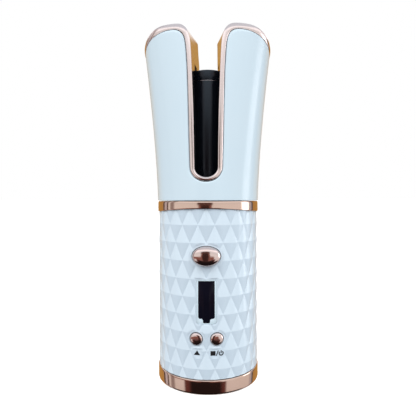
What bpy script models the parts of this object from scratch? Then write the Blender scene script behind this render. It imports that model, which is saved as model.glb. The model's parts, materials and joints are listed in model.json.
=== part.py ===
"""Cordless automatic hair curler that stands on its base.

Frame: origin at the centre of the base's underside, +Z up, -Y the side with
the buttons (the front), +X to the right of someone facing the buttons.
Dimensions are in millimetres and become metres when a shape is made.

Order: driving dimensions, materials, modelling tools, shape rules, then one
function for each assembly, called in turn at the end.
"""

import math

import bmesh
import bpy
from mathutils import Matrix, Vector

MILLI = 0.001                   # one millimetre in metres
GAP = 0.3                       # assembly gap between neighbouring pieces

# --- base ---------------------------------------------------------------------
FOOT_R, FOOT_TOP = 21.0, 1.2
BASE_R, BASE_RING_BORE_R = 28.45, 26.4
BASE_RING_Z0, BASE_RING_Z1 = 0.3, 7.6
SCREW_CIRCLE_R, SCREW_ANGLES = 16.0, (90.0, 210.0, 330.0)
SCREW_HOLE_R = 1.4

# --- handle -------------------------------------------------------------------
HANDLE_R, HANDLE_WALL = 28.0, 2.0
HANDLE_Z0, HANDLE_Z1 = BASE_RING_Z1 + GAP, 99.0
COLLAR_R, COLLAR_BORE_R = 28.65, 27.5
COLLAR_Z1, COLLAR_Z_SIDE = 99.4, 93.7
COLLAR_ARCH = 1.8               # rise of the collar's lower edge at front and back
SPIGOT_R = COLLAR_BORE_R - GAP  # handle top, inside the collar

# --- head ---------------------------------------------------------------------
HEAD_Z0, HEAD_Z1, HEAD_WALL = COLLAR_Z1 + GAP, 193.1, 2.0
HEAD_ROWS, HEAD_STEPS = 8, 44
FLARE_Z0, FLARE_SPAN, FLARE_POWER = 99.6, 86.0, 1.45
HEAD_HALF_WIDTH, HEAD_FLARE = 28.7, 7.3
HEAD_HALF_DEPTH, HEAD_DEPTH_TAPER = 28.6, 1.6
HEAD_SQUARENESS = 0.35          # added to the section's exponent over the flare
CROWN_Z, CROWN_DROP = 187.1, 3.0
CROWN_FRACTIONS = (0.45, 0.75, 0.92, 1.0)
SLOT_HALF, TRIM_HALF, SLOT_CENTRE_Z = 5.6, 8.1, 117.5
SLOT_TAPER = 0.55               # each slot wall leans in by this towards the back
BAND_SHOULDER_Z = 184.6         # where the trim band steps out to the head's side
CUT_REACH = 40.0                # front and rear reach of the cutters through the head

# right-hand half of the wing's front outline (x, z), from the outside corner
# over the top and down the slot wall
WING_OUTLINE = (
    (36.0, 184.4), (34.7, 186.9), (32.4, 189.0), (29.0, 191.2), (24.0, 193.1),
    (16.0, 193.1), (13.0, 192.2), (10.4, 190.2), (8.9, 187.6), (8.3, 185.8),
    (7.6, 182.0), (6.9, 172.0), (6.1, 151.5), (5.6, 131.0),
)
# the same for the edge of the white panel, inside the trim band
PANEL_OUTLINE = (
    (36.6, 178.2), (34.8, 182.0), (32.0, 185.0), (29.0, 187.0), (25.0, 188.2),
    (21.0, 188.8), (15.0, 188.8), (12.9, 187.2), (11.1, 184.9), (10.4, 181.0),
    (9.8, 174.6), (9.3, 164.6), (8.85, 146.5), (8.4, 127.0),
)
# right-hand wall (x, z) of the slot through the liner, from the top down
LINER_SLOT_WALL = ((8.6, 200.0), (7.0, 176.0), (6.9, 172.0), (6.1, 151.5), (5.6, 131.0))

# --- chamber and rotor --------------------------------------------------------
LINER_R, LINER_BORE_R = 19.5, 17.8
LINER_Z0, LINER_FLOOR, LINER_Z1 = 99.5, 104.0, 174.8
WINDER_R, WINDER_Z0, WINDER_Z1 = 17.2, 105.9, 107.9
BARREL_R, BARREL_BORE_R = 11.0, 9.6
BARREL_Z0, BARREL_Z1, CAP_Z1 = WINDER_Z1 + GAP, 166.2, 173.0
CAP_PLUG_Z0 = 163.9
HUB_R, HUB_BORE_R, HUB_Z0 = 5.6, 3.6, 87.6
HUB_FLANGE_R = 9.2
STEM_R, STEM_BORE_R, STEM_Z1 = 3.2, 1.9, 162.0

# --- gear pair ----------------------------------------------------------------
MODULE = 0.6
GEAR_TEETH, PINION_TEETH = 40, 14
GEAR_ADDENDUM, PINION_ADDENDUM, DEDENDUM = 0.45, 0.5, 0.75
PRESSURE_ANGLE = math.radians(20.0)
TOOTH_SLACK = 0.10              # thinning of each tooth at the pitch circle
CENTRE_CLEARANCE = 0.15         # added to the sum of the pitch radii
CENTRE_DISTANCE = MODULE * (GEAR_TEETH + PINION_TEETH) / 2 + CENTRE_CLEARANCE
GEAR_Z0, GEAR_Z1 = 88.0, 92.0
PINION_OVERHANG = 0.4           # the pinion is longer than the gear at each end
PINION_AT = (0.0, CENTRE_DISTANCE)
SHAFT_R = 1.5

# --- chassis ------------------------------------------------------------------
LOWER_PLATE, UPPER_PLATE, PLATE_R = (81.5, 84.5), (96.5, 99.2), 25.6
STANDOFF_CIRCLE_R, STANDOFF_ANGLES = 21.0, (-90.0, 30.0, 150.0)
STANDOFF_R, STANDOFF_BORE_R = 2.3, 1.4

# --- electrics ----------------------------------------------------------------
CELL_R, CELL_LENGTH, CELL_X, CELL_Y, CELL_Z0 = 9.2, 65.4, 9.6, -1.5, 12.0
TRAY_Z0, TRAY_Z1 = 8.5, 11.5
PCB_FRONT, PCB_BACK = -19.2, -17.6
PORT_Z = 15.0

# --- controls -----------------------------------------------------------------
ROCKER_Z, ROCKER_HALF_W, ROCKER_HALF_H, ROCKER_APEX = 71.2, 7.4, 5.15, 31.3
ROCKER_OPENING_HALF_W, ROCKER_OPENING_HALF_H = 7.85, 5.55
PIVOT_Y, PIN_R, PIN_BORE_R = -23.4, 0.75, 1.0
CONTACT_X = 5.0                 # direction switches and the rocker's posts
BUTTON_X, BUTTON_Z, BUTTON_R, BUTTON_APEX = 5.35, 28.7, 3.22, 29.1
DISPLAY_HALF, DISPLAY_Z0, DISPLAY_Z1, TAB_HALF, TAB_Z0 = 4.2, 39.1, 58.4, 1.65, 36.85


# ============================================================ scene set-up
for old in list(bpy.data.objects):
    bpy.data.objects.remove(old, do_unlink=True)

PARTS = bpy.data.collections.new("automatic_hair_curler")
CUTTERS = bpy.data.collections.new("cutters")
bpy.context.scene.collection.children.link(PARTS)
bpy.context.scene.collection.children.link(CUTTERS)
CUTTERS.hide_render = True


def material(name, color, roughness, metallic=0.0):
    mat = bpy.data.materials.new(name)
    mat.use_nodes = True
    shader = mat.node_tree.nodes["Principled BSDF"]
    shader.inputs["Base Color"].default_value = (*color, 1.0)
    shader.inputs["Roughness"].default_value = roughness
    shader.inputs["Metallic"].default_value = metallic
    return mat


WHITE = material("white_gloss", color=(0.80, 0.86, 0.92), roughness=0.22)
ROSE = material("rose_gold", color=(0.78, 0.47, 0.36), roughness=0.12, metallic=1.0)
BLACK = material("black_ceramic", color=(0.012, 0.014, 0.02), roughness=0.18)
LINER = material("liner_black", color=(0.02, 0.022, 0.026), roughness=0.5)
LENS = material("display_black", color=(0.008, 0.009, 0.014), roughness=0.08)
NYLON = material("nylon", color=(0.85, 0.83, 0.76), roughness=0.5)
STEEL = material("steel", color=(0.62, 0.62, 0.64), roughness=0.3, metallic=1.0)
ALUMINIUM = material("aluminium", color=(0.78, 0.78, 0.80), roughness=0.35, metallic=1.0)
BRASS = material("brass", color=(0.80, 0.62, 0.28), roughness=0.3, metallic=1.0)
BOARD = material("circuit_board", color=(0.03, 0.22, 0.10), roughness=0.5)
WRAP = material("cell_wrap", color=(0.05, 0.30, 0.62), roughness=0.35)
CERAMIC = material("ceramic", color=(0.86, 0.84, 0.80), roughness=0.6)
RUBBER = material("rubber", color=(0.05, 0.05, 0.055), roughness=0.8)
RED = material("red_wire", color=(0.60, 0.03, 0.03), roughness=0.45)
BLACK_WIRE = material("black_wire", color=(0.02, 0.02, 0.02), roughness=0.45)


# ============================================================ modelling tools
def adopt(name, mesh, mat=None, cutter=False, location=(0.0, 0.0, 0.0)):
    """A mesh as a named object, among the parts or among the cutters."""
    obj = bpy.data.objects.new(name, mesh)
    (CUTTERS if cutter else PARTS).objects.link(obj)
    obj.location = Vector(location) * MILLI
    if cutter:
        obj.hide_render = True
        obj.display_type = "WIRE"
    if mat is not None:
        mesh.materials.clear()
        mesh.materials.append(mat)
    return obj


def from_bmesh(name, solid, mat=None, cutter=False, location=(0.0, 0.0, 0.0)):
    mesh = bpy.data.meshes.new(name)
    solid.to_mesh(mesh)
    solid.free()
    return adopt(name, mesh, mat, cutter, location)


def box(name, x, y, z, mat=None, cutter=False):
    """A block between the given limits."""
    solid = bmesh.new()
    bmesh.ops.create_cube(solid, size=1.0)
    for vertex in solid.verts:
        vertex.co = Vector([(low + high) / 2 + unit * (high - low)
                            for unit, (low, high) in zip(vertex.co, (x, y, z))]) * MILLI
    return from_bmesh(name, solid, mat, cutter)


def cylinder(name, radius, low, high, mat=None, cutter=False, centre=(0.0, 0.0), along="Z",
             steps=32):
    """A round bar along Z or Y; `centre` lies in the plane square to it."""
    solid = bmesh.new()
    bmesh.ops.create_cone(solid, cap_ends=True, segments=steps, radius1=radius * MILLI,
                          radius2=radius * MILLI, depth=(high - low) * MILLI)
    bmesh.ops.translate(solid, vec=(0, 0, (low + high) / 2 * MILLI), verts=solid.verts)
    location = (centre[0], centre[1], 0.0)
    if along == "Y":                     # local z becomes world +Y
        bmesh.ops.rotate(solid, cent=(0, 0, 0), matrix=Matrix.Rotation(-math.pi / 2, 3, "X"),
                         verts=solid.verts)
        location = (centre[0], 0.0, centre[1])
    return from_bmesh(name, solid, mat, cutter, location)


def baked(obj, mat=None, cutter=False):
    """The evaluated mesh of an object, as an object of the same name and place."""
    bpy.context.view_layer.update()
    evaluated = obj.evaluated_get(bpy.context.evaluated_depsgraph_get())
    mesh = bpy.data.meshes.new_from_object(evaluated)
    solid = bmesh.new()
    solid.from_mesh(mesh)
    bmesh.ops.remove_doubles(solid, verts=solid.verts, dist=1e-6)
    solid.to_mesh(mesh)
    solid.free()
    name, matrix = obj.name, obj.matrix_world.copy()
    bpy.data.objects.remove(obj, do_unlink=True)
    mesh.transform(matrix)
    mesh.name = name
    return adopt(name, mesh, mat, cutter)


def turned(name, profile, mat=None, cutter=False, centre=(0.0, 0.0), steps=48, closed=False):
    """A profile of (radius, height) turned about Z.  It runs down the outside."""
    mesh = bpy.data.meshes.new(name)
    points = [(radius * MILLI, 0.0, z * MILLI) for radius, z in profile]
    edges = [(i, i + 1) for i in range(len(points) - 1)]
    if closed:
        edges.append((len(points) - 1, 0))
    mesh.from_pydata(points, edges, [])
    obj = adopt(name, mesh, mat, cutter, (centre[0], centre[1], 0.0))
    screw = obj.modifiers.new("turn", "SCREW")
    screw.steps = screw.render_steps = steps
    screw.use_merge_vertices = True
    screw.merge_threshold = 1e-5
    screw.use_normal_calculate = False
    return obj


def tube(name, outer, inner, low, high, mat=None, **options):
    """A plain ring between two radii and two heights."""
    profile = [(outer, high), (outer, low), (inner, low), (inner, high)]
    return turned(name, profile, mat, closed=True, **options)


def turned_forward(name, profile, x, z, mat=None, steps=32, cutter=False, squash=1.0):
    """A profile of (radius, distance in front of the origin) turned about a line along -Y.

    `squash` scales its height."""
    obj = baked(turned(name, profile, cutter=cutter, steps=steps), mat, cutter)
    obj.data.transform(Matrix.Translation((x * MILLI, 0, z * MILLI))
                       @ Matrix.Scale(squash, 4, (0, 0, 1))
                       @ Matrix.Rotation(math.pi / 2, 4, "X"))
    return obj


def prism(name, outlines, low, high, along="Z", mat=None, cutter=False):
    """A flat outline, with any inner outlines as holes, given thickness.

    Along Z the outline is (x, y); along Y it is (x, z)."""
    curve = bpy.data.curves.new(name, "CURVE")
    curve.dimensions = "2D"
    curve.fill_mode = "BOTH"
    curve.render_resolution_u = 0
    curve.extrude = (high - low) / 2 * MILLI
    for outline in outlines:
        spline = curve.splines.new("POLY")
        spline.points.add(len(outline) - 1)
        for point, (across, up) in zip(spline.points, outline):
            point.co = (across * MILLI, up * MILLI, 0.0, 1.0)
        spline.use_cyclic_u = True
    obj = bpy.data.objects.new(name, curve)
    (CUTTERS if cutter else PARTS).objects.link(obj)
    middle = (low + high) / 2 * MILLI
    if along == "Y":
        obj.rotation_euler = (math.pi / 2, 0, 0)
        obj.location = (0, middle, 0)
    else:
        obj.location = (0, 0, middle)
    return baked(obj, mat, cutter)


def boolean(obj, other, operation="DIFFERENCE"):
    modifier = obj.modifiers.new(operation.lower(), "BOOLEAN")
    modifier.operation = operation
    modifier.object = other
    modifier.solver = "EXACT"
    return obj


def drill(obj, name, radius, low, high, **options):
    """Cuts a round hole; the options are those of `cylinder`."""
    boolean(obj, cylinder(name, radius, low, high, cutter=True, **options))


def add_rod(obj, name, radius, low, high, centre):
    """Joins on a small round bar along Y."""
    rod = cylinder(name, radius, low, high, cutter=True, centre=centre, along="Y", steps=12)
    boolean(obj, rod, "UNION")


def add_box(obj, name, x, y, z):
    """Joins on a block between the given limits."""
    boolean(obj, box(name, x, y, z, cutter=True), "UNION")


def chamfer(obj, width, segments=1, angle=50.0):
    modifier = obj.modifiers.new("edge", "BEVEL")
    modifier.width = width * MILLI
    modifier.segments = segments
    modifier.limit_method = "ANGLE"
    modifier.angle_limit = math.radians(angle)
    return obj


def wire(name, points, radius, mat):
    curve = bpy.data.curves.new(name, "CURVE")
    curve.dimensions = "3D"
    curve.bevel_depth = radius * MILLI
    curve.bevel_resolution = 2
    curve.use_fill_caps = True
    curve.render_resolution_u = 0
    spline = curve.splines.new("POLY")
    spline.points.add(len(points) - 1)
    for point, place in zip(spline.points, points):
        point.co = (*(value * MILLI for value in place), 1.0)
    curve.materials.append(mat)
    PARTS.objects.link(bpy.data.objects.new(name, curve))


def set_origin(obj, place):
    """Moves an object's origin onto its joint axis and leaves its shape in place."""
    offset = Vector(place) * MILLI - obj.location
    obj.data.transform(Matrix.Translation(-offset))
    obj.location = Vector(place) * MILLI


# ============================================================ shape rules
def circle(radius, count=32, centre=(0.0, 0.0)):
    return [(centre[0] + radius * math.cos(2 * math.pi * i / count),
             centre[1] + radius * math.sin(2 * math.pi * i / count)) for i in range(count)]


def places_on_circle(radius, angles):
    """Points at the given angles in degrees, anticlockwise from +X."""
    return [(radius * math.cos(math.radians(angle)), radius * math.sin(math.radians(angle)))
            for angle in angles]


def dome(radius, apex, drop, angles):
    """Turning profile of a rounded face, from its apex out to its edge."""
    return [(radius * math.sin(math.radians(angle)),
             apex - drop * (1 - math.cos(math.radians(angle)))) for angle in angles]


def flare_share(z):
    return max(0.0, (z - FLARE_Z0) / FLARE_SPAN)


def head_half_width(z):
    return HEAD_HALF_WIDTH + HEAD_FLARE * flare_share(z) ** FLARE_POWER


def head_half_depth(z):
    depth = HEAD_HALF_DEPTH - HEAD_DEPTH_TAPER * flare_share(z)
    if z > CROWN_Z:
        rise = min(1.0, (z - CROWN_Z) / (HEAD_Z1 - CROWN_Z))
        depth -= CROWN_DROP * (1.0 - math.sqrt(max(0.0, 1.0 - rise * rise)))
    return depth


def head_volume(name, mat=None, inset=0.0, low=HEAD_Z0, high=HEAD_Z1, cutter=False):
    """A turned blank whose sections are stretched to the head's rounded-oval plan."""
    heights = [low + (min(high, CROWN_Z) - low) * i / HEAD_ROWS for i in range(HEAD_ROWS + 1)]
    crown = [CROWN_Z + (HEAD_Z1 - CROWN_Z) * fraction for fraction in CROWN_FRACTIONS]
    heights += [z for z in crown if z <= high + 1e-6]
    profile = [(0.0, heights[-1])] + [(1.0, z) for z in reversed(heights)] + [(0.0, heights[0])]
    blank = baked(turned(name, profile, cutter=cutter, steps=HEAD_STEPS), mat, cutter)
    for vertex in blank.data.vertices:
        x, y, z = vertex.co / MILLI
        if x * x + y * y < 0.25:                # the end points on the axis stay
            continue
        half_width = head_half_width(z) - inset
        half_depth = head_half_depth(z) - inset
        power = 2.0 / (2.0 + HEAD_SQUARENESS * flare_share(z))
        turn = math.atan2(y, x)
        cosine, sine = math.cos(turn), math.sin(turn)
        vertex.co = Vector((half_width * math.copysign(abs(cosine) ** power, cosine),
                            half_depth * math.copysign(abs(sine) ** power, sine), z)) * MILLI
    return blank


def u_bend(half, count=12):
    """Half circle under the slot, from its right wall to its left wall."""
    return [(half * math.cos(math.pi * i / count),
             SLOT_CENTRE_Z - half * math.sin(math.pi * i / count)) for i in range(count + 1)]


def slot_line(right_half, half):
    """Right-hand outline, the bend under the slot, and the mirrored left-hand outline."""
    return list(right_half) + u_bend(half) + [(-x, z) for x, z in reversed(right_half)]


def offset_line(points, distance):
    """The same open line moved sideways, to the left of its direction."""
    moved = []
    for i, (x, z) in enumerate(points):
        x0, z0 = points[max(0, i - 1)]
        x1, z1 = points[min(len(points) - 1, i + 1)]
        length = math.hypot(x1 - x0, z1 - z0)
        moved.append((x - distance * (z1 - z0) / length, z + distance * (x1 - x0) / length))
    return moved


def leaning_cutter(name, outline):
    """A cutter through the head from front to back, whose slot closes a little to the back.

    The full lean holds from x = 5 to x = 10 and fades out at x = 0 and x = 30."""
    cutter = prism(name, [outline], -CUT_REACH, CUT_REACH, "Y", cutter=True)
    for vertex in cutter.data.vertices:
        x, y = vertex.co.x / MILLI, vertex.co.y / MILLI
        share = min(1.0, max(0.0, (30.0 - abs(x)) / 20.0))
        if abs(x) > 0.01:
            shift = SLOT_TAPER * (y / 27.0) * share * min(1.0, abs(x) / 5.0)
            vertex.co.x -= math.copysign(shift, x) * MILLI
    return cutter


def collar_shape(name, bore, outer, low, top, mat=None, cutter=False):
    """A ring whose lower edge arches up at the front and at the back."""
    ring = baked(tube(name, outer, bore, low, top, cutter=cutter, steps=48), mat, cutter)
    for vertex in ring.data.vertices:
        if abs(vertex.co.z / MILLI - low) < 0.01:
            turn = math.atan2(vertex.co.x, vertex.co.y)
            vertex.co.z += COLLAR_ARCH * math.cos(turn) ** 2 * MILLI
    return ring


def display_outline(grow):
    """The display window (x, z) with its small tab below, grown outwards."""
    half, tab = DISPLAY_HALF + grow, TAB_HALF + grow
    low, tab_low, high = DISPLAY_Z0 - grow, TAB_Z0 - grow, DISPLAY_Z1 + grow
    return [(-half, low), (-tab, low), (-tab, tab_low), (tab, tab_low),
            (tab, low), (half, low), (half, high), (-half, high)]


def gear_outline(teeth, addendum, phase):
    """Involute teeth as (x, y) about the gear's own centre; `phase` aims the first tooth."""
    pitch_r = teeth * MODULE / 2
    base_r = pitch_r * math.cos(PRESSURE_ANGLE)
    tip_r, root_r = pitch_r + addendum, pitch_r - DEDENDUM

    def involute(angle):
        return math.tan(angle) - angle

    def half_angle(radius):
        local = math.acos(min(1.0, base_r / max(radius, base_r)))
        return (math.pi / (2 * teeth) - TOOTH_SLACK / (2 * pitch_r)
                + involute(PRESSURE_ANGLE) - involute(local))

    if base_r - root_r < 0.1:
        radii = [root_r, pitch_r, tip_r]
    else:
        radii = [root_r, base_r, (base_r + tip_r) / 2, tip_r]
    flank = [(radius, half_angle(radius)) for radius in radii]
    points = []
    for tooth in range(teeth):
        middle = phase + 2 * math.pi * tooth / teeth
        points += [(radius * math.cos(middle - half), radius * math.sin(middle - half))
                   for radius, half in flank]
        points += [(radius * math.cos(middle + half), radius * math.sin(middle + half))
                   for radius, half in reversed(flank)]
    return points


# ============================================================ base
def build_base():
    turned("foot_pad", [(0, FOOT_TOP), (FOOT_R, FOOT_TOP), (FOOT_R, 0.25), (FOOT_R - 0.25, 0.0),
                        (0, 0.0)], RUBBER, steps=36)

    # cap with a locating lip that rises inside the handle
    floor, lip_top = 4.2, 8.2
    cap_r = BASE_RING_BORE_R - GAP
    recess_r, recess_top = FOOT_R + GAP, FOOT_TOP + GAP
    cap = turned("base_cap", [(0, floor), (24.0, floor), (24.0, lip_top), (25.6, lip_top),
                              (25.6, floor), (cap_r, floor), (cap_r, BASE_RING_Z0),
                              (recess_r, BASE_RING_Z0), (recess_r, recess_top),
                              (0, recess_top)], WHITE, steps=40)

    turned("base_ring", [(BASE_R - 0.3, BASE_RING_Z1), (BASE_R, BASE_RING_Z1 - 0.3),
                         (BASE_R, BASE_RING_Z0 + 1.0), (27.6, BASE_RING_Z0),
                         (BASE_RING_BORE_R, BASE_RING_Z0), (BASE_RING_BORE_R, BASE_RING_Z1)],
           ROSE, closed=True, steps=48)

    # screws up into the battery cage, heads sunk in the cap
    screw_profile = [(0, 11.2), (0.6, 11.2), (1.1, 10.6), (1.1, 3.0), (2.2, 3.0), (2.2, 2.3),
                     (1.8, 1.8), (0, 1.8)]
    for number, spot in enumerate(places_on_circle(SCREW_CIRCLE_R, SCREW_ANGLES), 1):
        drill(cap, f"base_bore_{number}", SCREW_HOLE_R, 0.5, 6.0, centre=spot, steps=16)
        drill(cap, f"base_counterbore_{number}", 2.6, 0.5, 3.3, centre=spot, steps=16)
        turned(f"base_screw_{number}", screw_profile, STEEL, centre=spot, steps=12)


# ============================================================ handle casing
def casing_halves():
    """Blocks that keep the front or the rear half, a gap apart at the middle."""
    return {"front": box("front_half", (-60, 60), (-60, -GAP / 2), (-5, 210), cutter=True),
            "rear": box("rear_half", (-60, 60), (GAP / 2, 60), (-5, 210), cutter=True)}


def build_handle(halves):
    # the collar's space reaches beyond the handle, so it leaves only the spigot
    collar_space = collar_shape("collar_space", SPIGOT_R, 32.0, COLLAR_Z_SIDE - GAP, 103.0,
                                cutter=True)
    shells = {}
    for side, half in halves.items():
        shell = tube(f"handle_{side}_shell", HANDLE_R, HANDLE_R - HANDLE_WALL, HANDLE_Z0,
                     HANDLE_Z1, WHITE, steps=48)
        boolean(shell, half, "INTERSECT")
        boolean(shell, collar_space)
        shells[side] = shell

    # openings for the controls
    front = shells["front"]
    half_width = ROCKER_OPENING_HALF_W
    boolean(front, turned_forward(
        "rocker_opening", [(0, 40.0), (half_width, 40.0), (half_width, 20.0), (0, 20.0)],
        0.0, ROCKER_Z, cutter=True, squash=ROCKER_OPENING_HALF_H / half_width))
    for side, x in (("left", -BUTTON_X), ("right", BUTTON_X)):
        drill(front, f"button_opening_{side}", BUTTON_R + GAP, -40.0, -20.0,
              centre=(x, BUTTON_Z), along="Y", steps=24)
    boolean(front, prism("display_opening", [display_outline(GAP)], -40.0, -20.0, "Y",
                         cutter=True))

    # rounded opening for the charging port
    port_opening = box("port_opening", (-4.9, 4.9), (20, 40), (PORT_Z - 2.0, PORT_Z + 2.0),
                       cutter=True)
    boolean(shells["rear"], chamfer(port_opening, 1.6, 3))

    collar = collar_shape("collar_ring", COLLAR_BORE_R, COLLAR_R, COLLAR_Z_SIDE, COLLAR_Z1, ROSE)
    chamfer(collar, 0.35, angle=60.0)


# ============================================================ head casing and trim
def build_head(halves):
    far = 45.0                                  # beyond the head's sides
    panel_line = slot_line(PANEL_OUTLINE, TRIM_HALF)

    # the head's full volume, a helper that no piece is cut with
    head_volume("head_outer", cutter=True)
    head_inner = head_volume("head_inner", inset=HEAD_WALL, low=HEAD_Z0 - 2.0,
                             high=HEAD_Z1 - HEAD_WALL, cutter=True)

    # white shells, kept inside the panel's edge
    side_z = PANEL_OUTLINE[0][1] - 1.0
    panel_space = leaning_cutter("panel_space", [(-far, 90.0), (far, 90.0), (far, side_z)]
                                 + panel_line + [(-far, side_z)])
    for side, half in halves.items():
        shell = head_volume(f"head_{side}_shell", WHITE)
        boolean(shell, panel_space, "INTERSECT")
        boolean(shell, head_inner)
        boolean(shell, half, "INTERSECT")

    # trim band between the panel's edge and the slot, hollowed for the chamber
    edge = offset_line(panel_line, -GAP)
    shoulder_x = head_half_width(BAND_SHOULDER_Z) + 0.3
    band_outline = [(far, edge[0][1] - 1.0), (far, BAND_SHOULDER_Z),
                    (shoulder_x, BAND_SHOULDER_Z)]
    band_outline += slot_line(WING_OUTLINE, SLOT_HALF)
    band_outline += [(-shoulder_x, BAND_SHOULDER_Z), (-far, BAND_SHOULDER_Z),
                     (-far, edge[-1][1] - 1.0)]
    band_outline += list(reversed(edge))
    band_space = leaning_cutter("band_space", band_outline)
    trim = head_volume("slot_trim", ROSE)
    boolean(trim, band_space, "INTERSECT")
    drill(trim, "chamber_space", LINER_R + GAP, 95.0, LINER_Z1 + GAP, steps=44)


def build_liner():
    liner = turned("chamber_liner", [(0, LINER_Z1), (LINER_R, LINER_Z1), (LINER_R, LINER_Z0),
                                     (LINER_BORE_R, LINER_Z0), (LINER_BORE_R, LINER_FLOOR),
                                     (0, LINER_FLOOR)], LINER, steps=44)
    wall = 1.5                                  # floor and roof of the chamber
    drill(liner, "chamber_bore", LINER_BORE_R, LINER_FLOOR + wall, LINER_Z1 - wall, steps=44)
    left_side = [(-x, z) for x, z in list(LINER_SLOT_WALL) + u_bend(SLOT_HALF)]
    right_side = list(reversed(LINER_SLOT_WALL))
    boolean(liner, leaning_cutter("slot_space", left_side + right_side))
    drill(liner, "hub_passage", HUB_R + 0.9, 100.0, 106.0, steps=24)


# ============================================================ rotor
def build_rotor():
    # hub with a flange that carries the winder disc
    turned("rotor_hub", [(HUB_R, WINDER_Z0 - GAP), (HUB_R, 92.5), (HUB_R, HUB_Z0),
                         (HUB_BORE_R, HUB_Z0), (HUB_BORE_R, WINDER_Z1),
                         (HUB_FLANGE_R, WINDER_Z1), (HUB_FLANGE_R, WINDER_Z0),
                         (HUB_R, WINDER_Z0)], NYLON, closed=True, steps=24)
    prism("drive_gear", [gear_outline(GEAR_TEETH, GEAR_ADDENDUM, math.pi / 2),
                         circle(HUB_R + GAP, 24)], GEAR_Z0, GEAR_Z1, mat=NYLON)

    disc_bore_r = HUB_FLANGE_R + GAP
    turned("winder_disc", [(WINDER_R - 0.4, WINDER_Z1), (WINDER_R, WINDER_Z1 - 0.4),
                           (WINDER_R, WINDER_Z0), (disc_bore_r, WINDER_Z0),
                           (disc_bore_r, WINDER_Z1)], BLACK, closed=True, steps=40)

    # upright hook on the disc, outline (x, y)
    hook_outline = [(12.9, -2.2), (16.2, -2.8), (16.4, 0.0), (16.2, 2.8), (12.9, 2.2),
                    (12.6, 0.0)]
    hook = prism("hair_hook", [hook_outline], BARREL_Z0, 134.0, mat=BLACK)
    for vertex in hook.data.vertices:
        if vertex.co.z / MILLI > 130.0:         # the tip narrows about x = 14.5 and shifts to +Y
            vertex.co.x = (vertex.co.x / MILLI * 0.4 + 14.5 * 0.6) * MILLI
            vertex.co.y = (vertex.co.y / MILLI * 0.45 + 2.0) * MILLI

    turned("barrel_tube", [(BARREL_R - 0.3, BARREL_Z1), (BARREL_R, BARREL_Z1 - 0.3),
                           (BARREL_R, BARREL_Z0), (BARREL_BORE_R, BARREL_Z0),
                           (BARREL_BORE_R, BARREL_Z1)], BLACK, closed=True, steps=32)

    # cap with a plug that fits the barrel's bore
    cap_r, plug_r = 10.7, BARREL_BORE_R - GAP
    turned("barrel_cap", [(0, CAP_Z1), (9.2, CAP_Z1), (10.2, CAP_Z1 - 0.35),
                          (cap_r, CAP_Z1 - 1.2), (cap_r, BARREL_Z1 + GAP),
                          (plug_r, BARREL_Z1 + GAP), (plug_r, CAP_PLUG_Z0), (0, CAP_PLUG_Z0)],
           BLACK, steps=32)


# ============================================================ stem and heater (do not turn)
def build_heater():
    flange_r, flange_top, flange_low = 6.2, 86.8, LOWER_PLATE[1] + GAP
    turned("fixed_stem", [(STEM_R, STEM_Z1), (STEM_R, flange_top), (flange_r, flange_top),
                          (flange_r, flange_low), (STEM_BORE_R, flange_low),
                          (STEM_BORE_R, STEM_Z1)], STEEL, closed=True, steps=24)

    # two half-round cores with a flat slot between them for the plates
    for side, low, high in (("left", -12.0, -0.9), ("right", 0.9, 12.0)):
        core = cylinder(f"heater_half_{side}", 8.7, 110.5, 158.0, ALUMINIUM, steps=24)
        drill(core, f"stem_bore_{side}", STEM_R + GAP, 105.0, 165.0, steps=24)
        boolean(core, box(f"core_side_{side}", (low, high), (-12, 12), (100, 170), cutter=True),
                "INTERSECT")
    for side, depth in (("front", (-8.1, -3.9)), ("rear", (3.9, 8.1))):
        box(f"ptc_plate_{side}", (-0.6, 0.6), depth, (112.0, 156.0), CERAMIC)

    tube("top_bush", 8.9, STEM_R + GAP, 161.2, 163.3, NYLON, steps=24)
    cylinder("temperature_sensor", 0.9, 158.4, 160.8, CERAMIC, centre=(6.0, 0.0), steps=12)


# ============================================================ chassis
def build_chassis():
    spots = places_on_circle(STANDOFF_CIRCLE_R, STANDOFF_ANGLES)
    rim = circle(PLATE_R, 48)
    shaft_hole = circle(2.2, 16, PINION_AT)
    prism("lower_chassis", [rim, circle(2.6, 20), shaft_hole]
          + [circle(STANDOFF_BORE_R, 12, spot) for spot in spots], *LOWER_PLATE, mat=STEEL)
    prism("upper_chassis", [rim, circle(8.3, 24), shaft_hole], *UPPER_PLATE, mat=STEEL)
    for number, spot in enumerate(spots, 1):
        tube(f"standoff_{number}", STANDOFF_R, STANDOFF_BORE_R, LOWER_PLATE[1] + GAP,
             UPPER_PLATE[0] - GAP, BRASS, centre=spot, steps=12)
    tube("hub_bush", 8.0, HUB_R + 0.2, 96.2, 99.6, BRASS, steps=24)


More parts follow.
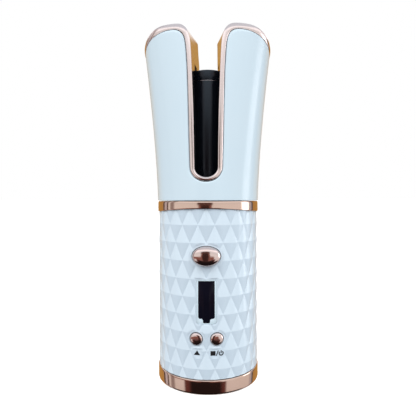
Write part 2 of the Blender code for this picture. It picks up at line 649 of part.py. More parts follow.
# ============================================================ gear motor
def build_gear_motor():
    motor_r, motor_low, motor_top, edge = 6.0, 44.0, 64.0, 0.8
    turned("motor", [(0, motor_top), (motor_r - edge, motor_top), (motor_r, motor_top - edge),
                     (motor_r, motor_low + edge), (motor_r - edge, motor_low), (0, motor_low)],
           STEEL, centre=PINION_AT, steps=24)

    nose_r, nose_top, body_top = 2.6, LOWER_PLATE[0] - GAP, 79.4
    gearbox = turned("gearbox", [(0, nose_top), (nose_r, nose_top), (nose_r, body_top),
                                 (motor_r, body_top), (motor_r, motor_top + GAP),
                                 (0, motor_top + GAP)], BRASS, centre=PINION_AT, steps=24)
    drill(gearbox, "gearbox_bore", SHAFT_R + GAP, 70.0, 90.0, centre=PINION_AT, steps=16)

    turned("output_shaft", [(0, 94.5), (SHAFT_R - 0.3, 94.5), (SHAFT_R, 94.2), (SHAFT_R, 71.0),
                            (0, 71.0)], STEEL, centre=PINION_AT, steps=16)

    # turned by half a tooth, so that a gap faces the gear's tooth
    phase = -math.pi / 2 + math.pi / PINION_TEETH
    pinion = prism("pinion", [gear_outline(PINION_TEETH, PINION_ADDENDUM, phase),
                              circle(SHAFT_R + GAP, 16)],
                   GEAR_Z0 - PINION_OVERHANG, GEAR_Z1 + PINION_OVERHANG, mat=BRASS)
    pinion.location = (PINION_AT[0] * MILLI, PINION_AT[1] * MILLI, 0.0)


# ============================================================ batteries and cage
def build_batteries():
    top = CELL_Z0 + CELL_LENGTH
    profile = [(0, top), (3.2, top), (3.2, top - 0.8), (8.7, top - 0.8), (CELL_R, top - 1.3),
               (CELL_R, CELL_Z0 + 0.5), (8.7, CELL_Z0), (0, CELL_Z0)]
    for side, x in (("left", -CELL_X), ("right", CELL_X)):
        turned(f"battery_cell_{side}", profile, WRAP, centre=(x, CELL_Y), steps=24)

    # round tray, a spine behind the cells and a plate over them
    cage_low, cage_high, spine_back = 77.7, 79.3, 9.7
    screw_holes = [circle(SCREW_HOLE_R, 12, spot)
                   for spot in places_on_circle(SCREW_CIRCLE_R, SCREW_ANGLES)]
    cage = prism("battery_cage", [circle(25.0, 48)] + screw_holes, TRAY_Z0, TRAY_Z1, mat=NYLON)
    add_box(cage, "cage_spine", (-8.0, 8.0), (8.1, spine_back), (TRAY_Z1 - 1.0, cage_high))
    add_box(cage, "cage_top", (-15.0, 15.0), (-8.5, spine_back), (cage_low, cage_high))
    drill(cage, "cage_relief", 2.6, 60.0, 85.0, steps=16)


# ============================================================ boards, display, switches
def build_boards():
    box("main_pcb", (-12.0, 12.0), (PCB_FRONT, PCB_BACK), (14.0, 80.0), BOARD)
    box("lcd_module", (-5.0, 5.0), (-23.6, PCB_FRONT - GAP), (37.6, 59.4), STEEL)
    prism("display_lens", [display_outline(0.0)], -27.75, -26.2, "Y", LENS)
    box("charge_pcb", (-8.0, 8.0), (18.0, 19.2), (12.0, 34.0), BOARD)


def build_port():
    """Charging port: a rounded shell, its mouth and the tongue inside."""
    port = box("usb_port", (-4.5, 4.5), (19.5, 27.2), (PORT_Z - 1.6, PORT_Z + 1.6), STEEL)
    chamfer(port, 1.2, 3, angle=60.0)
    mouth = box("port_mouth", (-4.2, 4.2), (21.0, 30.0), (PORT_Z - 1.3, PORT_Z + 1.3),
                cutter=True)
    boolean(port, chamfer(mouth, 1.0, 3, angle=60.0))
    add_box(port, "port_tongue", (-3.3, 3.3), (20.5, 26.2), (PORT_Z - 0.35, PORT_Z + 0.35))


def build_switches():
    """Push switches on the board: their plungers point to the front."""
    # name, x from the middle, z, half size, y of the face, y of the plunger's tip
    kinds = (("switch", BUTTON_X, BUTTON_Z, 2.0, -20.9, -21.4),
             ("direction_switch", CONTACT_X, ROCKER_Z, 1.6, -21.2, -21.8))
    for kind, offset, z, half, face, tip in kinds:
        for side, x in (("left", -offset), ("right", offset)):
            name = f"{kind}_{side}"
            body = box(name, (x - half, x + half), (face, PCB_FRONT - GAP), (z - half, z + half),
                       LINER)
            add_rod(body, name + "_plunger", 0.9, tip, face + 0.3, (x, z))


# ============================================================ controls
def build_buttons():
    """Domed buttons with a retaining flange and a stub at the back."""
    profile = dome(BUTTON_R, BUTTON_APEX, 1.5, (0, 30, 55, 75, 90))
    profile += [(BUTTON_R, 25.3), (BUTTON_R, 23.9), (4.1, 23.9), (4.1, 23.3), (1.8, 23.3),
                (1.8, 22.4), (0, 22.4)]
    for name, x in (("temperature_button", -BUTTON_X), ("power_button", BUTTON_X)):
        button = turned_forward(name, profile, x, BUTTON_Z, ROSE, steps=20)
        set_origin(button, (x, -25.0, BUTTON_Z))


def build_rocker():
    pivot = (0.0, PIVOT_Y)
    bore = (ROCKER_Z - 8.0, ROCKER_Z + 8.0)

    # oval rocker with a pivot boss and two posts behind it
    back, root_y = 25.9, -26.4
    profile = dome(ROCKER_HALF_W, ROCKER_APEX, 3.4, (0, 20, 40, 60, 76, 90))
    profile += [(ROCKER_HALF_W, back), (0, back)]
    rocker = turned_forward("direction_rocker", profile, 0.0, ROCKER_Z, ROSE,
                            squash=ROCKER_HALF_H / ROCKER_HALF_W)
    add_box(rocker, "rocker_boss", (-1.9, 1.9), (root_y, -21.9), (ROCKER_Z - 4.2, ROCKER_Z + 4.2))
    for side, x in (("left", -CONTACT_X), ("right", CONTACT_X)):
        add_rod(rocker, f"rocker_post_{side}", 1.0, root_y, -22.5, (x, ROCKER_Z))
    drill(rocker, "rocker_pin_bore", PIN_BORE_R, *bore, centre=pivot, steps=16)
    set_origin(rocker, (0.0, PIVOT_Y, ROCKER_Z))

    # frame on the board, with an ear below and above the boss
    half_width, half_height = 2.0, 6.2
    frame = box("rocker_frame", (-half_width, half_width), (-20.7, PCB_FRONT - GAP),
                (ROCKER_Z - half_height, ROCKER_Z + half_height), STEEL)
    for end, low in (("lower", ROCKER_Z - half_height), ("upper", ROCKER_Z + 4.6)):
        add_box(frame, f"frame_ear_{end}", (-half_width, half_width), (-24.6, -20.4),
                (low, low + 1.6))
    drill(frame, "frame_pin_bore", PIN_BORE_R, *bore, centre=pivot, steps=16)
    cylinder("rocker_pin", PIN_R, ROCKER_Z - 6.0, ROCKER_Z + 6.0, STEEL, centre=pivot, steps=16)


# ============================================================ leads
def build_leads():
    # paths are (x, y, z); the return lead mirrors the live one in x
    heater_path = [(0.85, 0, 150.0), (0.85, 0, 81.6), (0.85, -1.2, 80.4), (2.5, -9.6, 80.4),
                   (3.0, -14.0, 80.0), (3.0, -16.6, 77.0)]
    wire("heater_lead_live", heater_path, 0.45, RED)
    wire("heater_lead_return", [(-x, y, z) for x, y, z in heater_path], 0.45, BLACK_WIRE)
    wire("battery_lead", [(-8.0, -16.9, 32.0), (-8.0, -14.2, 29.0), (-8.0, -13.4, 16.0),
                          (-8.0, -12.8, 12.6)], 0.55, RED)
    wire("motor_lead", [(0, CENTRE_DISTANCE, 43.4), (-1.0, CENTRE_DISTANCE - 0.5, 38.0),
                        (-14.0, 14.5, 36.0), (-20.8, 5.0, 36.0), (-20.8, -6.0, 36.0),
                        (-15.5, -14.6, 36.0), (-11.0, -16.9, 36.0)], 0.5, BLACK_WIRE)


def shade_parts():
    """Smooth shading, with edges over 35 degrees kept sharp."""
    for obj in PARTS.objects:
        if obj.type == "MESH":
            obj.data.shade_smooth()
            obj.data.set_sharp_from_angle(angle=math.radians(35.0))


build_base()
casing = casing_halves()
build_handle(casing)
build_head(casing)
build_liner()
build_rotor()
build_heater()
build_chassis()
build_gear_motor()
build_batteries()
build_boards()
build_port()
build_switches()
build_buttons()
build_rocker()
build_leads()
shade_parts()
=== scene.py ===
"""Looks of an automatic hair curler: fine surfaces and procedural materials around its CAD pieces.

The curler stands upright on z = 0 with its axis along Z and its controls facing -Y (the front).
A faceted handle carries the head, which is slotted front and rear and holds the turning barrel.
Lengths are in millimetres until a mesh is made; the stage is in metres.
"""

import json
import math

import bmesh
import bpy
import numpy as np
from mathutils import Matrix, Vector


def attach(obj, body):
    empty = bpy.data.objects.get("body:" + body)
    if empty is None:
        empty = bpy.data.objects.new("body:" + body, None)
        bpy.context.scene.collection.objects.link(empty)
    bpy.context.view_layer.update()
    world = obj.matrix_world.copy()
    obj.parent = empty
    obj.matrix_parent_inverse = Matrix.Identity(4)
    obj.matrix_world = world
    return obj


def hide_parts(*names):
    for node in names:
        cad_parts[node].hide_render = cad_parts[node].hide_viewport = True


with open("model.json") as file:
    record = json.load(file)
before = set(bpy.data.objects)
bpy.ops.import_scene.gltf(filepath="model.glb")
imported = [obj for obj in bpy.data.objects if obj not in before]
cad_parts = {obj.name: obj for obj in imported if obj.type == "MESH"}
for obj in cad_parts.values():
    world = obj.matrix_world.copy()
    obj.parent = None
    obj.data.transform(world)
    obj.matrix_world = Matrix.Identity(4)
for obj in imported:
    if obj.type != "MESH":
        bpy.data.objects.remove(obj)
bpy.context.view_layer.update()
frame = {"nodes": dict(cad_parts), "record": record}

MILLIMETRE = 0.001
QUARTER = math.pi / 2


# =========================================================== material tools
def graph(name):
    mat = bpy.data.materials.new(name)
    mat.use_nodes = True
    tree = mat.node_tree
    return mat, tree, tree.nodes["Principled BSDF"]


def node(tree, kind, **values):
    """A new node; each value goes to the input of that name, or else to the property."""
    made = tree.nodes.new(kind)
    for key, value in values.items():
        if key in made.inputs.keys():
            made.inputs[key].default_value = value
        else:
            setattr(made, key, value)
    return made


def feed(tree, socket, value):
    """Link a socket's value, or set a plain one."""
    if isinstance(value, bpy.types.NodeSocket):
        tree.links.new(value, socket)
    else:
        socket.default_value = value


def place(tree):
    """Object coordinates, in metres, so that every grain below has a real size."""
    return node(tree, "ShaderNodeTexCoord").outputs["Object"]


def noise(tree, vector, per_metre, detail=4.0):
    made = node(tree, "ShaderNodeTexNoise", Scale=per_metre, Detail=detail, Roughness=0.55)
    feed(tree, made.inputs["Vector"], vector)
    return made.outputs["Fac"]


def spread(tree, value, low, high, start=0.3, end=0.7):
    """Map start..end to low..high."""
    made = node(tree, "ShaderNodeMapRange",
                **{"From Min": start, "From Max": end, "To Min": low, "To Max": high})
    feed(tree, made.inputs["Value"], value)
    return made.outputs["Result"]


def blend_colors(tree, factor, first, second):
    made = node(tree, "ShaderNodeMix", data_type="RGBA")
    feed(tree, made.inputs["Factor"], factor)
    # inputs 6 and 7 and output 2 are the colour sockets
    for socket, color in ((made.inputs[6], first), (made.inputs[7], second)):
        feed(tree, socket, (*color, 1.0) if isinstance(color, tuple) else color)
    return made.outputs[2]


def bumps(tree, shader, height, depth_mm, strength, radius_mm=0.0):
    """Bump from `height`; `radius_mm` also softens edges."""
    made = node(tree, "ShaderNodeBump", Strength=strength, Distance=depth_mm * MILLIMETRE)
    feed(tree, made.inputs["Height"], height)
    if radius_mm:
        soft = node(tree, "ShaderNodeBevel", samples=4, Radius=radius_mm * MILLIMETRE)
        feed(tree, made.inputs["Normal"], soft.outputs["Normal"])
    feed(tree, shader.inputs["Normal"], made.outputs["Normal"])


def combine(tree, operation, *values):
    made = node(tree, "ShaderNodeMath", operation=operation)
    for socket, value in zip(made.inputs, values):
        feed(tree, socket, value)
    return made.outputs[0]


def surface(name, color, shade, rough, metallic=0.0, grain=900.0, grain_depth=0.004, patch=28.0,
            rough_spread=0.04, coat=0.0, specular=0.5, edge_mm=0.0, stretch=None,
            tint=(1.0, 1.0, 1.0)):
    """A finish with drifting colour, uneven roughness and a fine moulded or rolled grain.

    `grain` and `patch` are noise scales per metre, `grain_depth` is in millimetres.
    """
    mat, tree, shader = graph(name)
    where = fine = place(tree)
    if stretch is not None:
        mapping = node(tree, "ShaderNodeMapping", Scale=stretch)
        feed(tree, mapping.inputs["Vector"], where)
        fine = mapping.outputs["Vector"]
    broad = noise(tree, where, patch, detail=5.0)
    small = noise(tree, fine, grain, detail=3.0)
    drift = spread(tree, broad, low=0.0, high=1.0)
    feed(tree, shader.inputs["Base Color"], blend_colors(tree, drift, color, shade))
    mixed = combine(tree, "ADD", combine(tree, "MULTIPLY", broad, 0.5),
                    combine(tree, "MULTIPLY", small, 0.5))
    roughness = spread(tree, mixed, low=max(0.01, rough - rough_spread),
                       high=rough + rough_spread, start=0.35, end=0.65)
    feed(tree, shader.inputs["Roughness"], roughness)
    for key, value in (("Metallic", metallic), ("Coat Weight", coat), ("Coat Roughness", 0.05),
                       ("Specular IOR Level", specular), ("Specular Tint", (*tint, 1.0))):
        shader.inputs[key].default_value = value
    bumps(tree, shader, small, grain_depth, strength=0.6, radius_mm=edge_mm)
    return mat


# =========================================================== materials
WHITE_FINISH = dict(grain=1400.0, grain_depth=0.0012, patch=45.0, rough_spread=0.03, coat=0.08,
                    specular=0.38)
ROSE_FINISH = dict(metallic=1.0, grain=2600.0, grain_depth=0.0010, patch=60.0,
                   rough_spread=0.03)
TRIM_FINISH = dict(metallic=1.0, grain=2200.0, grain_depth=0.0012, patch=60.0,
                   rough_spread=0.03)

WHITE = surface("shell_white", (0.712, 0.845, 0.930), (0.698, 0.836, 0.925), rough=0.20,
                edge_mm=0.10, **WHITE_FINISH)
ROSE = surface("rose_gold", (0.74, 0.555, 0.475), (0.71, 0.52, 0.43), rough=0.10,
               stretch=(1.0, 1.0, 9.0), **ROSE_FINISH)
ROSE_CAP = surface("rose_gold_cap", (0.80, 0.66, 0.63), (0.77, 0.62, 0.58), rough=0.09,
                   **ROSE_FINISH)
TRIM_FACE = surface("rose_gold_face", (0.81, 0.70, 0.68), (0.79, 0.67, 0.64), rough=0.16,
                    **TRIM_FINISH)
# the slot walls take a more orange gold than the face: the trim's rose gold with a painted warm
# reflection
TRIM_WALL = surface("rose_gold_wall", (0.86, 0.55, 0.30), (0.83, 0.50, 0.25), rough=0.30,
                    **TRIM_FINISH)
BLACK = surface("barrel_black", (0.006, 0.008, 0.013), (0.009, 0.011, 0.017), rough=0.24,
                grain=5200.0, grain_depth=0.0015, patch=70.0, rough_spread=0.05,
                tint=(0.70, 0.85, 1.0))
LINER = surface("liner_black", (0.010, 0.011, 0.014), (0.016, 0.017, 0.020), rough=0.52,
                grain=3600.0, grain_depth=0.010, patch=60.0, rough_spread=0.08, specular=0.35)
NYLON = surface("nylon", (0.80, 0.77, 0.68), (0.74, 0.70, 0.60), rough=0.45, grain=2400.0,
                grain_depth=0.006)
STEEL = surface("steel", (0.60, 0.60, 0.62), (0.50, 0.50, 0.53), rough=0.30, metallic=1.0,
                grain=1500.0, grain_depth=0.003, stretch=(1.0, 14.0, 1.0))
ALUMINIUM = surface("aluminium", (0.78, 0.78, 0.80), (0.66, 0.66, 0.69), rough=0.36,
                    metallic=1.0, grain=1200.0, grain_depth=0.008)
BRASS = surface("brass", (0.80, 0.60, 0.26), (0.70, 0.50, 0.20), rough=0.28, metallic=1.0,
                grain=1500.0, grain_depth=0.003, stretch=(1.0, 1.0, 12.0))
CERAMIC = surface("ceramic", (0.84, 0.82, 0.77), (0.76, 0.74, 0.70), rough=0.62, grain=2600.0,
                  grain_depth=0.006)
RUBBER = surface("rubber", (0.030, 0.030, 0.033), (0.045, 0.045, 0.050), rough=0.72,
                 grain=3000.0, grain_depth=0.02, specular=0.3)
WIRE_RED = surface("wire_red", (0.55, 0.03, 0.03), (0.45, 0.02, 0.02), rough=0.42,
                   grain=2500.0, grain_depth=0.004)
WIRE_BLACK = surface("wire_black", (0.02, 0.02, 0.022), (0.03, 0.03, 0.034), rough=0.45,
                     grain=2500.0, grain_depth=0.004)
PRINT = surface("print_black", (0.012, 0.012, 0.014), (0.020, 0.020, 0.022), rough=0.45,
                grain=5000.0, grain_depth=0.003, specular=0.3)
CELL = surface("cell_wrap", (0.04, 0.26, 0.58), (0.05, 0.30, 0.64), rough=0.30, grain=900.0,
               grain_depth=0.01)


def faceted_white():
    """The shell's white, with each facet's own lean carried on from the mesh's "facet" value: the
    lean tilts the shading normal, and shade is painted on facets that lean down.
    """
    # the second number is the most painted shade that a facet leaning down takes
    normal_tilt, painted_shade_most = 0.024, 0.054
    painted_shade_color = (0.36, 0.56, 0.86)
    mat = surface("shell_white_faceted", (0.722, 0.835, 0.930), (0.708, 0.826, 0.925),
                  rough=0.24, **WHITE_FINISH)
    tree = mat.node_tree
    shader = tree.nodes["Principled BSDF"]
    lean = node(tree, "ShaderNodeAttribute", attribute_name="facet").outputs["Fac"]
    tilt = node(tree, "ShaderNodeCombineXYZ")
    feed(tree, tilt.inputs["Z"], combine(tree, "MULTIPLY", lean, normal_tilt))
    bumped = shader.inputs["Normal"].links[0].from_socket
    tilted = node(tree, "ShaderNodeVectorMath", operation="ADD")
    feed(tree, tilted.inputs[0], bumped)
    feed(tree, tilted.inputs[1], tilt.outputs[0])
    unit = node(tree, "ShaderNodeVectorMath", operation="NORMALIZE")
    feed(tree, unit.inputs[0], tilted.outputs[0])
    feed(tree, shader.inputs["Normal"], unit.outputs[0])
    base = shader.inputs["Base Color"].links[0].from_socket
    # painted shade: facets that lean down are blended towards a darker blue, a little more towards
    # the crest above them
    amount = combine(tree, "MULTIPLY_ADD", lean, 0.5, 0.5)
    painted_shade = spread(tree, amount, low=painted_shade_most, high=0.0, start=0.0, end=1.0)
    feed(tree, shader.inputs["Base Color"], blend_colors(tree, painted_shade, base, painted_shade_color))
    return mat


def circuit_board():
    """Green bricks with brighter joints, laid in the XZ plane."""
    mat, tree, shader = graph("circuit_board")
    where = place(tree)
    tracks = node(tree, "ShaderNodeTexBrick", Scale=260.0,
                  Color1=(0.010, 0.150, 0.060, 1), Color2=(0.016, 0.190, 0.080, 1),
                  Mortar=(0.030, 0.300, 0.130, 1), **{"Mortar Size": 0.06})
    turned = node(tree, "ShaderNodeMapping", Rotation=(QUARTER, 0, 0))
    feed(tree, turned.inputs["Vector"], where)
    feed(tree, tracks.inputs["Vector"], turned.outputs["Vector"])
    feed(tree, shader.inputs["Base Color"], tracks.outputs["Color"])
    roughness = spread(tree, noise(tree, where, per_metre=600.0), low=0.35, high=0.5)
    feed(tree, shader.inputs["Roughness"], roughness)
    bumps(tree, shader, tracks.outputs["Fac"], depth_mm=0.03, strength=0.5)
    return mat


def smoked_window():
    """Glossy black window: a slightly blue field with fine cells."""
    mat, tree, shader = graph("display_black")
    where = place(tree)
    cells = node(tree, "ShaderNodeTexVoronoi", Scale=2600.0)
    feed(tree, cells.inputs["Vector"], where)
    broad = noise(tree, where, per_metre=80.0)
    field = blend_colors(tree, spread(tree, broad, low=0.0, high=1.0),
                         (0.0030, 0.0028, 0.0065), (0.0055, 0.0050, 0.0110))
    edges = spread(tree, cells.outputs["Distance"], low=0.0, high=0.25, start=0.1, end=0.6)
    feed(tree, shader.inputs["Base Color"],
         blend_colors(tree, edges, field, (0.010, 0.010, 0.020)))
    roughness = spread(tree, noise(tree, where, per_metre=500.0), low=0.04, high=0.09)
    feed(tree, shader.inputs["Roughness"], roughness)
    shader.inputs["Specular IOR Level"].default_value = 0.14
    bumps(tree, shader, broad, depth_mm=0.002, strength=0.3)
    return mat


FACETED = faceted_white()
BOARD = circuit_board()
WINDOW = smoked_window()
BY_SLOT = {"shell_white": WHITE, "trim_rose_gold": ROSE, "barrel_black": BLACK,
           "liner_black": LINER, "display_black": WINDOW, "nylon": NYLON, "steel": STEEL,
           "aluminium": ALUMINIUM, "brass": BRASS, "circuit_board": BOARD, "cell_wrap": CELL,
           "ceramic": CERAMIC, "rubber": RUBBER, "wire_red": WIRE_RED, "wire_black": WIRE_BLACK}


def paint(mesh, materials):
    mesh.materials.clear()
    for mat in materials:
        mesh.materials.append(mat)


slot_of = {entry["node"]: entry["material_slot"] for entry in frame["record"]["subparts"]}
for name, obj in frame["nodes"].items():
    paint(obj.data, [BY_SLOT[slot_of[name]]])


# =========================================================== mesh tools
def link(name, mesh, materials):
    obj = bpy.data.objects.new(name, mesh)
    bpy.context.scene.collection.objects.link(obj)
    paint(mesh, materials)
    return obj


def smooth(mesh, sharp):
    """Smooth shading, with edges sharp above `sharp` degrees."""
    mesh.shade_smooth()
    mesh.set_sharp_from_angle(angle=math.radians(sharp))


def from_lists(name, points, faces, materials, picks=None, sharp=35.0, weld=None):
    """`picks` gives each face its material; `weld` is a merging distance in millimetres."""
    draft = bmesh.new()
    verts = [draft.verts.new([float(c) * MILLIMETRE for c in point]) for point in points]
    for i, face in enumerate(faces):
        made = draft.faces.new([verts[k] for k in face])
        if picks is not None:
            made.material_index = picks[i]
    if weld:
        bmesh.ops.remove_doubles(draft, verts=draft.verts, dist=weld * MILLIMETRE)
        bmesh.ops.dissolve_degenerate(draft, dist=weld * MILLIMETRE * 0.5, edges=draft.edges)
    bmesh.ops.recalc_face_normals(draft, faces=draft.faces)
    mesh = bpy.data.meshes.new(name)
    draft.to_mesh(mesh)
    draft.free()
    smooth(mesh, sharp)
    return link(name, mesh, materials)


def apply_modifiers(obj, sharp=None):
    bpy.context.view_layer.update()
    evaluated = obj.evaluated_get(bpy.context.evaluated_depsgraph_get())
    mesh = bpy.data.meshes.new_from_object(evaluated)
    obj.modifiers.clear()
    obj.data = mesh
    if sharp is not None:
        smooth(mesh, sharp)


def drop_flaps(obj, sharp):
    """Remove pairs of triangles that a cut left lying on the same three corners."""
    mesh = obj.data
    draft = bmesh.new()
    draft.from_mesh(mesh)
    bmesh.ops.remove_doubles(draft, verts=draft.verts, dist=1e-8)
    draft.to_mesh(mesh)
    draft.free()
    mesh.calc_loop_triangles()
    triangles = [tuple(t.vertices) for t in mesh.loop_triangles]
    times = {}
    for triangle in triangles:
        corners = frozenset(triangle)
        times[corners] = times.get(corners, 0) + 1
    points = [tuple(v.co) for v in mesh.vertices]
    kept = [triangle for triangle in triangles if times[frozenset(triangle)] == 1]
    mesh.clear_geometry()
    mesh.from_pydata(points, [], kept)
    mesh.update()
    draft = bmesh.new()
    draft.from_mesh(mesh)
    loose_verts = [v for v in draft.verts if not v.link_faces]
    bmesh.ops.delete(draft, geom=loose_verts, context="VERTS")
    loose_edges = [e for e in draft.edges if not e.link_faces]
    bmesh.ops.delete(draft, geom=loose_edges, context="EDGES")
    draft.to_mesh(mesh)
    draft.free()
    smooth(mesh, sharp)


def boolean(obj, other, operation="DIFFERENCE"):
    modifier = obj.modifiers.new(operation.lower(), "BOOLEAN")
    modifier.operation = operation
    modifier.solver = "EXACT"
    modifier.object = other


def drop(*objects):
    for obj in objects:
        bpy.data.objects.remove(obj, do_unlink=True)


def band_faces(first, second, size):
    """Quads between two closed rings whose points start at `first` and `second`."""
    return [(first + k, second + k, second + (k + 1) % size, first + (k + 1) % size)
            for k in range(size)]


def lathe(name, profile, material, steps, shape=None):
    """A closed profile of (radius, height) turned about Z; `shape` moves each point."""
    size = len(profile)
    points, faces = [], []
    for i in range(steps):
        turn = 2 * math.pi * i / steps
        for radius, z in profile:
            point = [radius * math.cos(turn), radius * math.sin(turn), z]
            points.append(shape(point) if shape else point)
        faces += band_faces(i * size, (i + 1) % steps * size, size)
    return from_lists(name, points, faces, [material], weld=1e-4)


def rounded(profile, radius, cuts=4):
    """The closed profile with its corners rounded."""
    out = []
    for i, corner in enumerate(profile):
        back = np.subtract(profile[i - 1], corner)
        ahead = np.subtract(profile[(i + 1) % len(profile)], corner)
        back_length, ahead_length = np.linalg.norm(back), np.linalg.norm(ahead)
        size = min(radius, back_length * 0.45, ahead_length * 0.45)
        start = np.add(corner, back / back_length * size)
        end = np.add(corner, ahead / ahead_length * size)
        for k in range(cuts + 1):
            t = k / cuts
            out.append(tuple((1 - t) ** 2 * start + 2 * t * (1 - t) * np.array(corner)
                             + t * t * end))
    return out


def loft(rings, caps=True):
    """Points and faces of closed rings joined in order; the two caps are the last faces."""
    count, size = len(rings), len(rings[0])
    points = [point for ring in rings for point in ring]
    faces = []
    for i in range(count - 1):
        faces += band_faces(i * size, (i + 1) * size, size)
    if caps:
        faces += [tuple(range(size)), tuple(range((count - 1) * size, count * size))]
    return points, faces


def mirrored(rings):
    """Rings from the middle plane to the right, continued to the left across x = 0."""
    left = [[(-x, y, z) for x, y, z in ring] for ring in reversed(rings)]
    return left[:-1] + rings


def prism(name, near, far, material, sharp=35.0):
    """A solid between two outlines with matching points."""
    count = len(near)
    faces = [tuple(range(count)), tuple(range(2 * count - 1, count - 1, -1))]
    faces += [(i, (i + 1) % count, count + (i + 1) % count, count + i) for i in range(count)]
    return from_lists(name, near + far, faces, [material], sharp=sharp)


def slab(name, outline, low, high, shape=None):
    """An (x, z) outline given depth along Y, from `low` to `high`."""
    shape = shape or (lambda x, y, z: (x, y, z))
    return prism(name, [shape(x, low, z) for x, z in outline],
                 [shape(x, high, z) for x, z in outline], LINER)


def bar(name, radius, low, high, steps):
    """A solid cylinder about Z."""
    draft = bmesh.new()
    bmesh.ops.create_cone(draft, cap_ends=True, segments=steps, radius1=radius * MILLIMETRE,
                          radius2=radius * MILLIMETRE, depth=(high - low) * MILLIMETRE)
    middle = (low + high) / 2 * MILLIMETRE
    bmesh.ops.translate(draft, vec=(0, 0, middle), verts=draft.verts)
    mesh = bpy.data.meshes.new(name)
    draft.to_mesh(mesh)
    draft.free()
    return link(name, mesh, [LINER])


def catmull(points, cuts):
    """A smooth line through the points, with `cuts` steps between neighbours."""
    knots = [np.array(point, float) for point in points]
    knots = [2 * knots[0] - knots[1]] + knots + [2 * knots[-1] - knots[-2]]
    out = []
    for i in range(1, len(knots) - 2):
        before, start, end, after = knots[i - 1:i + 3]
        for k in range(cuts):
            t = k / cuts
            out.append(0.5 * (2 * start + (end - before) * t
                              + (2 * before - 5 * start + 4 * end - after) * t * t
                              + (3 * start - before - 3 * end + after) * t ** 3))
    out.append(knots[-2])
    return out


def wear(obj, body, slot, *replaced):
    """Attach a piece to its moving body, in place of the CAD nodes it replaces; `slot` is not
    used.
    """
    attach(obj, body)
    if replaced:
        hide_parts(*replaced)


# =========================================================== head surface rules
HEAD_BOTTOM, HEAD_TOP, CROWN_Z = 99.7, 193.1, 187.1
SWELL_Z, SWELL_HEIGHT = 99.6, 86.0          # where the head starts to change section
SLOT_HALF, TRIM_HALF, SLOT_CENTRE_Z, SLOT_TAPER = 5.6, 8.1, 117.5, 0.55
CHAMBER_R, CHAMBER_TOP = 19.8, 175.1
CROWN_SLOPE = 0.02                          # most that a crown normal may point up


def swell(z):
    return max(0.0, (z - SWELL_Z) / SWELL_HEIGHT)


def half_width(z):
    return 28.7 + 7.3 * swell(z) ** 1.45


def half_depth(z):
    depth = 28.6 - 1.6 * swell(z)
    if z > CROWN_Z:
        t = min(1.0, (z - CROWN_Z) / (HEAD_TOP - CROWN_Z))
        depth -= 3.0 * (1.0 - math.sqrt(max(0.0, 1.0 - t * t)))
    return depth


def power(z):
    """Exponent of the superellipse that the head has for its section."""
    return 2.0 + 0.35 * swell(z)


def turn_of(x, z):
    share = min(1.0, abs(x) / half_width(z))
    return math.acos(min(1.0, share ** (power(z) / 2)))


def level(x, y, z):
    """1 on the head's surface, less inside."""
    return (x / half_width(z)) ** power(z) + (y / half_depth(z)) ** power(z)


def skin(turn, z, depth=0.0):
    """A point of the head's outer surface in its first quadrant, moved inwards by `depth`."""
    wide, deep, bend = half_width(z), half_depth(z), power(z)
    x = wide * max(0.0, math.cos(turn)) ** (2 / bend)
    y = deep * max(0.0, math.sin(turn)) ** (2 / bend)
    point = np.array([x, y, z])
    if not depth:
        return point
    step = 0.05
    below = level(x, y, z - step)
    if z < CROWN_Z - 0.1:
        slope = (level(x, y, z + step) - below) / (2 * step)
    else:
        slope = (level(x, y, z) - below) / step
    if z > CROWN_Z:
        slope = min(slope, CROWN_SLOPE)
    normal = np.array([bend / wide * (x / wide) ** (bend - 1),
                       bend / deep * (y / deep) ** (bend - 1), slope])
    normal /= np.linalg.norm(normal)
    return point - normal * depth


def leaned(x, y):
    """x of a slot wall point once the wall leans with its depth y."""
    share = min(1.0, max(0.0, (30.0 - x) / 20.0)) * min(1.0, x / 5.0)
    return x - (SLOT_TAPER * (y / 27.0) + 0.18 * (1 + y / 27.0)) * share


def outline_turn(x, z, side):
    """Turn angle of an outline point once the slot's lean is in; side -1 front, +1 rear."""
    out = x
    for _ in range(4):
        y = skin(turn_of(out, z), z)[1]
        out = leaned(x, side * y)
    return turn_of(out, z)


# each row: (x, z) of the panel's edge, (x, z) of the edge of slot and wing, and the height at
# the side seam that the same station of the panel runs to
STATIONS = [
    ((8.1, 117.5), (5.6, 117.5), 99.7), ((8.4, 127.0), (5.62, 127.0), 106.0),
    ((8.85, 146.5), (5.98, 147.0), 127.0), ((9.3, 164.6), (6.62, 165.0), 148.0),
    ((9.78, 174.2), (7.05, 174.6), 159.0), ((10.32, 180.6), (7.5, 181.2), 166.0),
    ((11.15, 184.7), (8.25, 185.7), 169.3), ((12.75, 187.2), (9.9, 189.6), 171.4),
    ((15.2, 188.6), (13.0, 192.2), 173.0), ((18.2, 188.95), (17.3, 193.1), 174.3),
    ((21.6, 188.8), (22.0, 193.1), 175.4), ((25.3, 188.1), (26.0, 192.3), 176.5),
    ((29.0, 186.9), (29.9, 190.6), 177.6), ((32.0, 185.0), (32.7, 188.5), 178.6),
    ((33.9, 183.1), (34.6, 186.5), 179.3), ((34.85, 181.7), (35.6, 184.3), 179.8),
    ((35.2, 180.9), (35.6, 182.4), 180.1), ((35.36, 180.4), (35.32, 180.05), 180.3)]
# station number: (x, z); the rear rail keeps a squarer top corner at the slot
REAR = {4: (7.0, 174.6), 5: (7.1, 181.6), 6: (7.25, 187.4), 7: (7.9, 190.9),
        8: (10.6, 192.8), 9: (16.0, 193.1)}
# half way between front and rear the wall stands nearest the middle
MIDDLE = {4: (6.0, 174.6), 5: (5.88, 181.4), 6: (5.86, 187.4), 7: (6.1, 190.9),
          8: (9.2, 192.9), 9: (16.0, 193.1)}
CUTS = 10           # steps between two stations
ARC = 26            # steps round the quarter circle at the slot's foot
SHADOW = 0.30       # gap between panel and trim
WIDEST = 0.99999    # share of the head's half width that outlines stay within


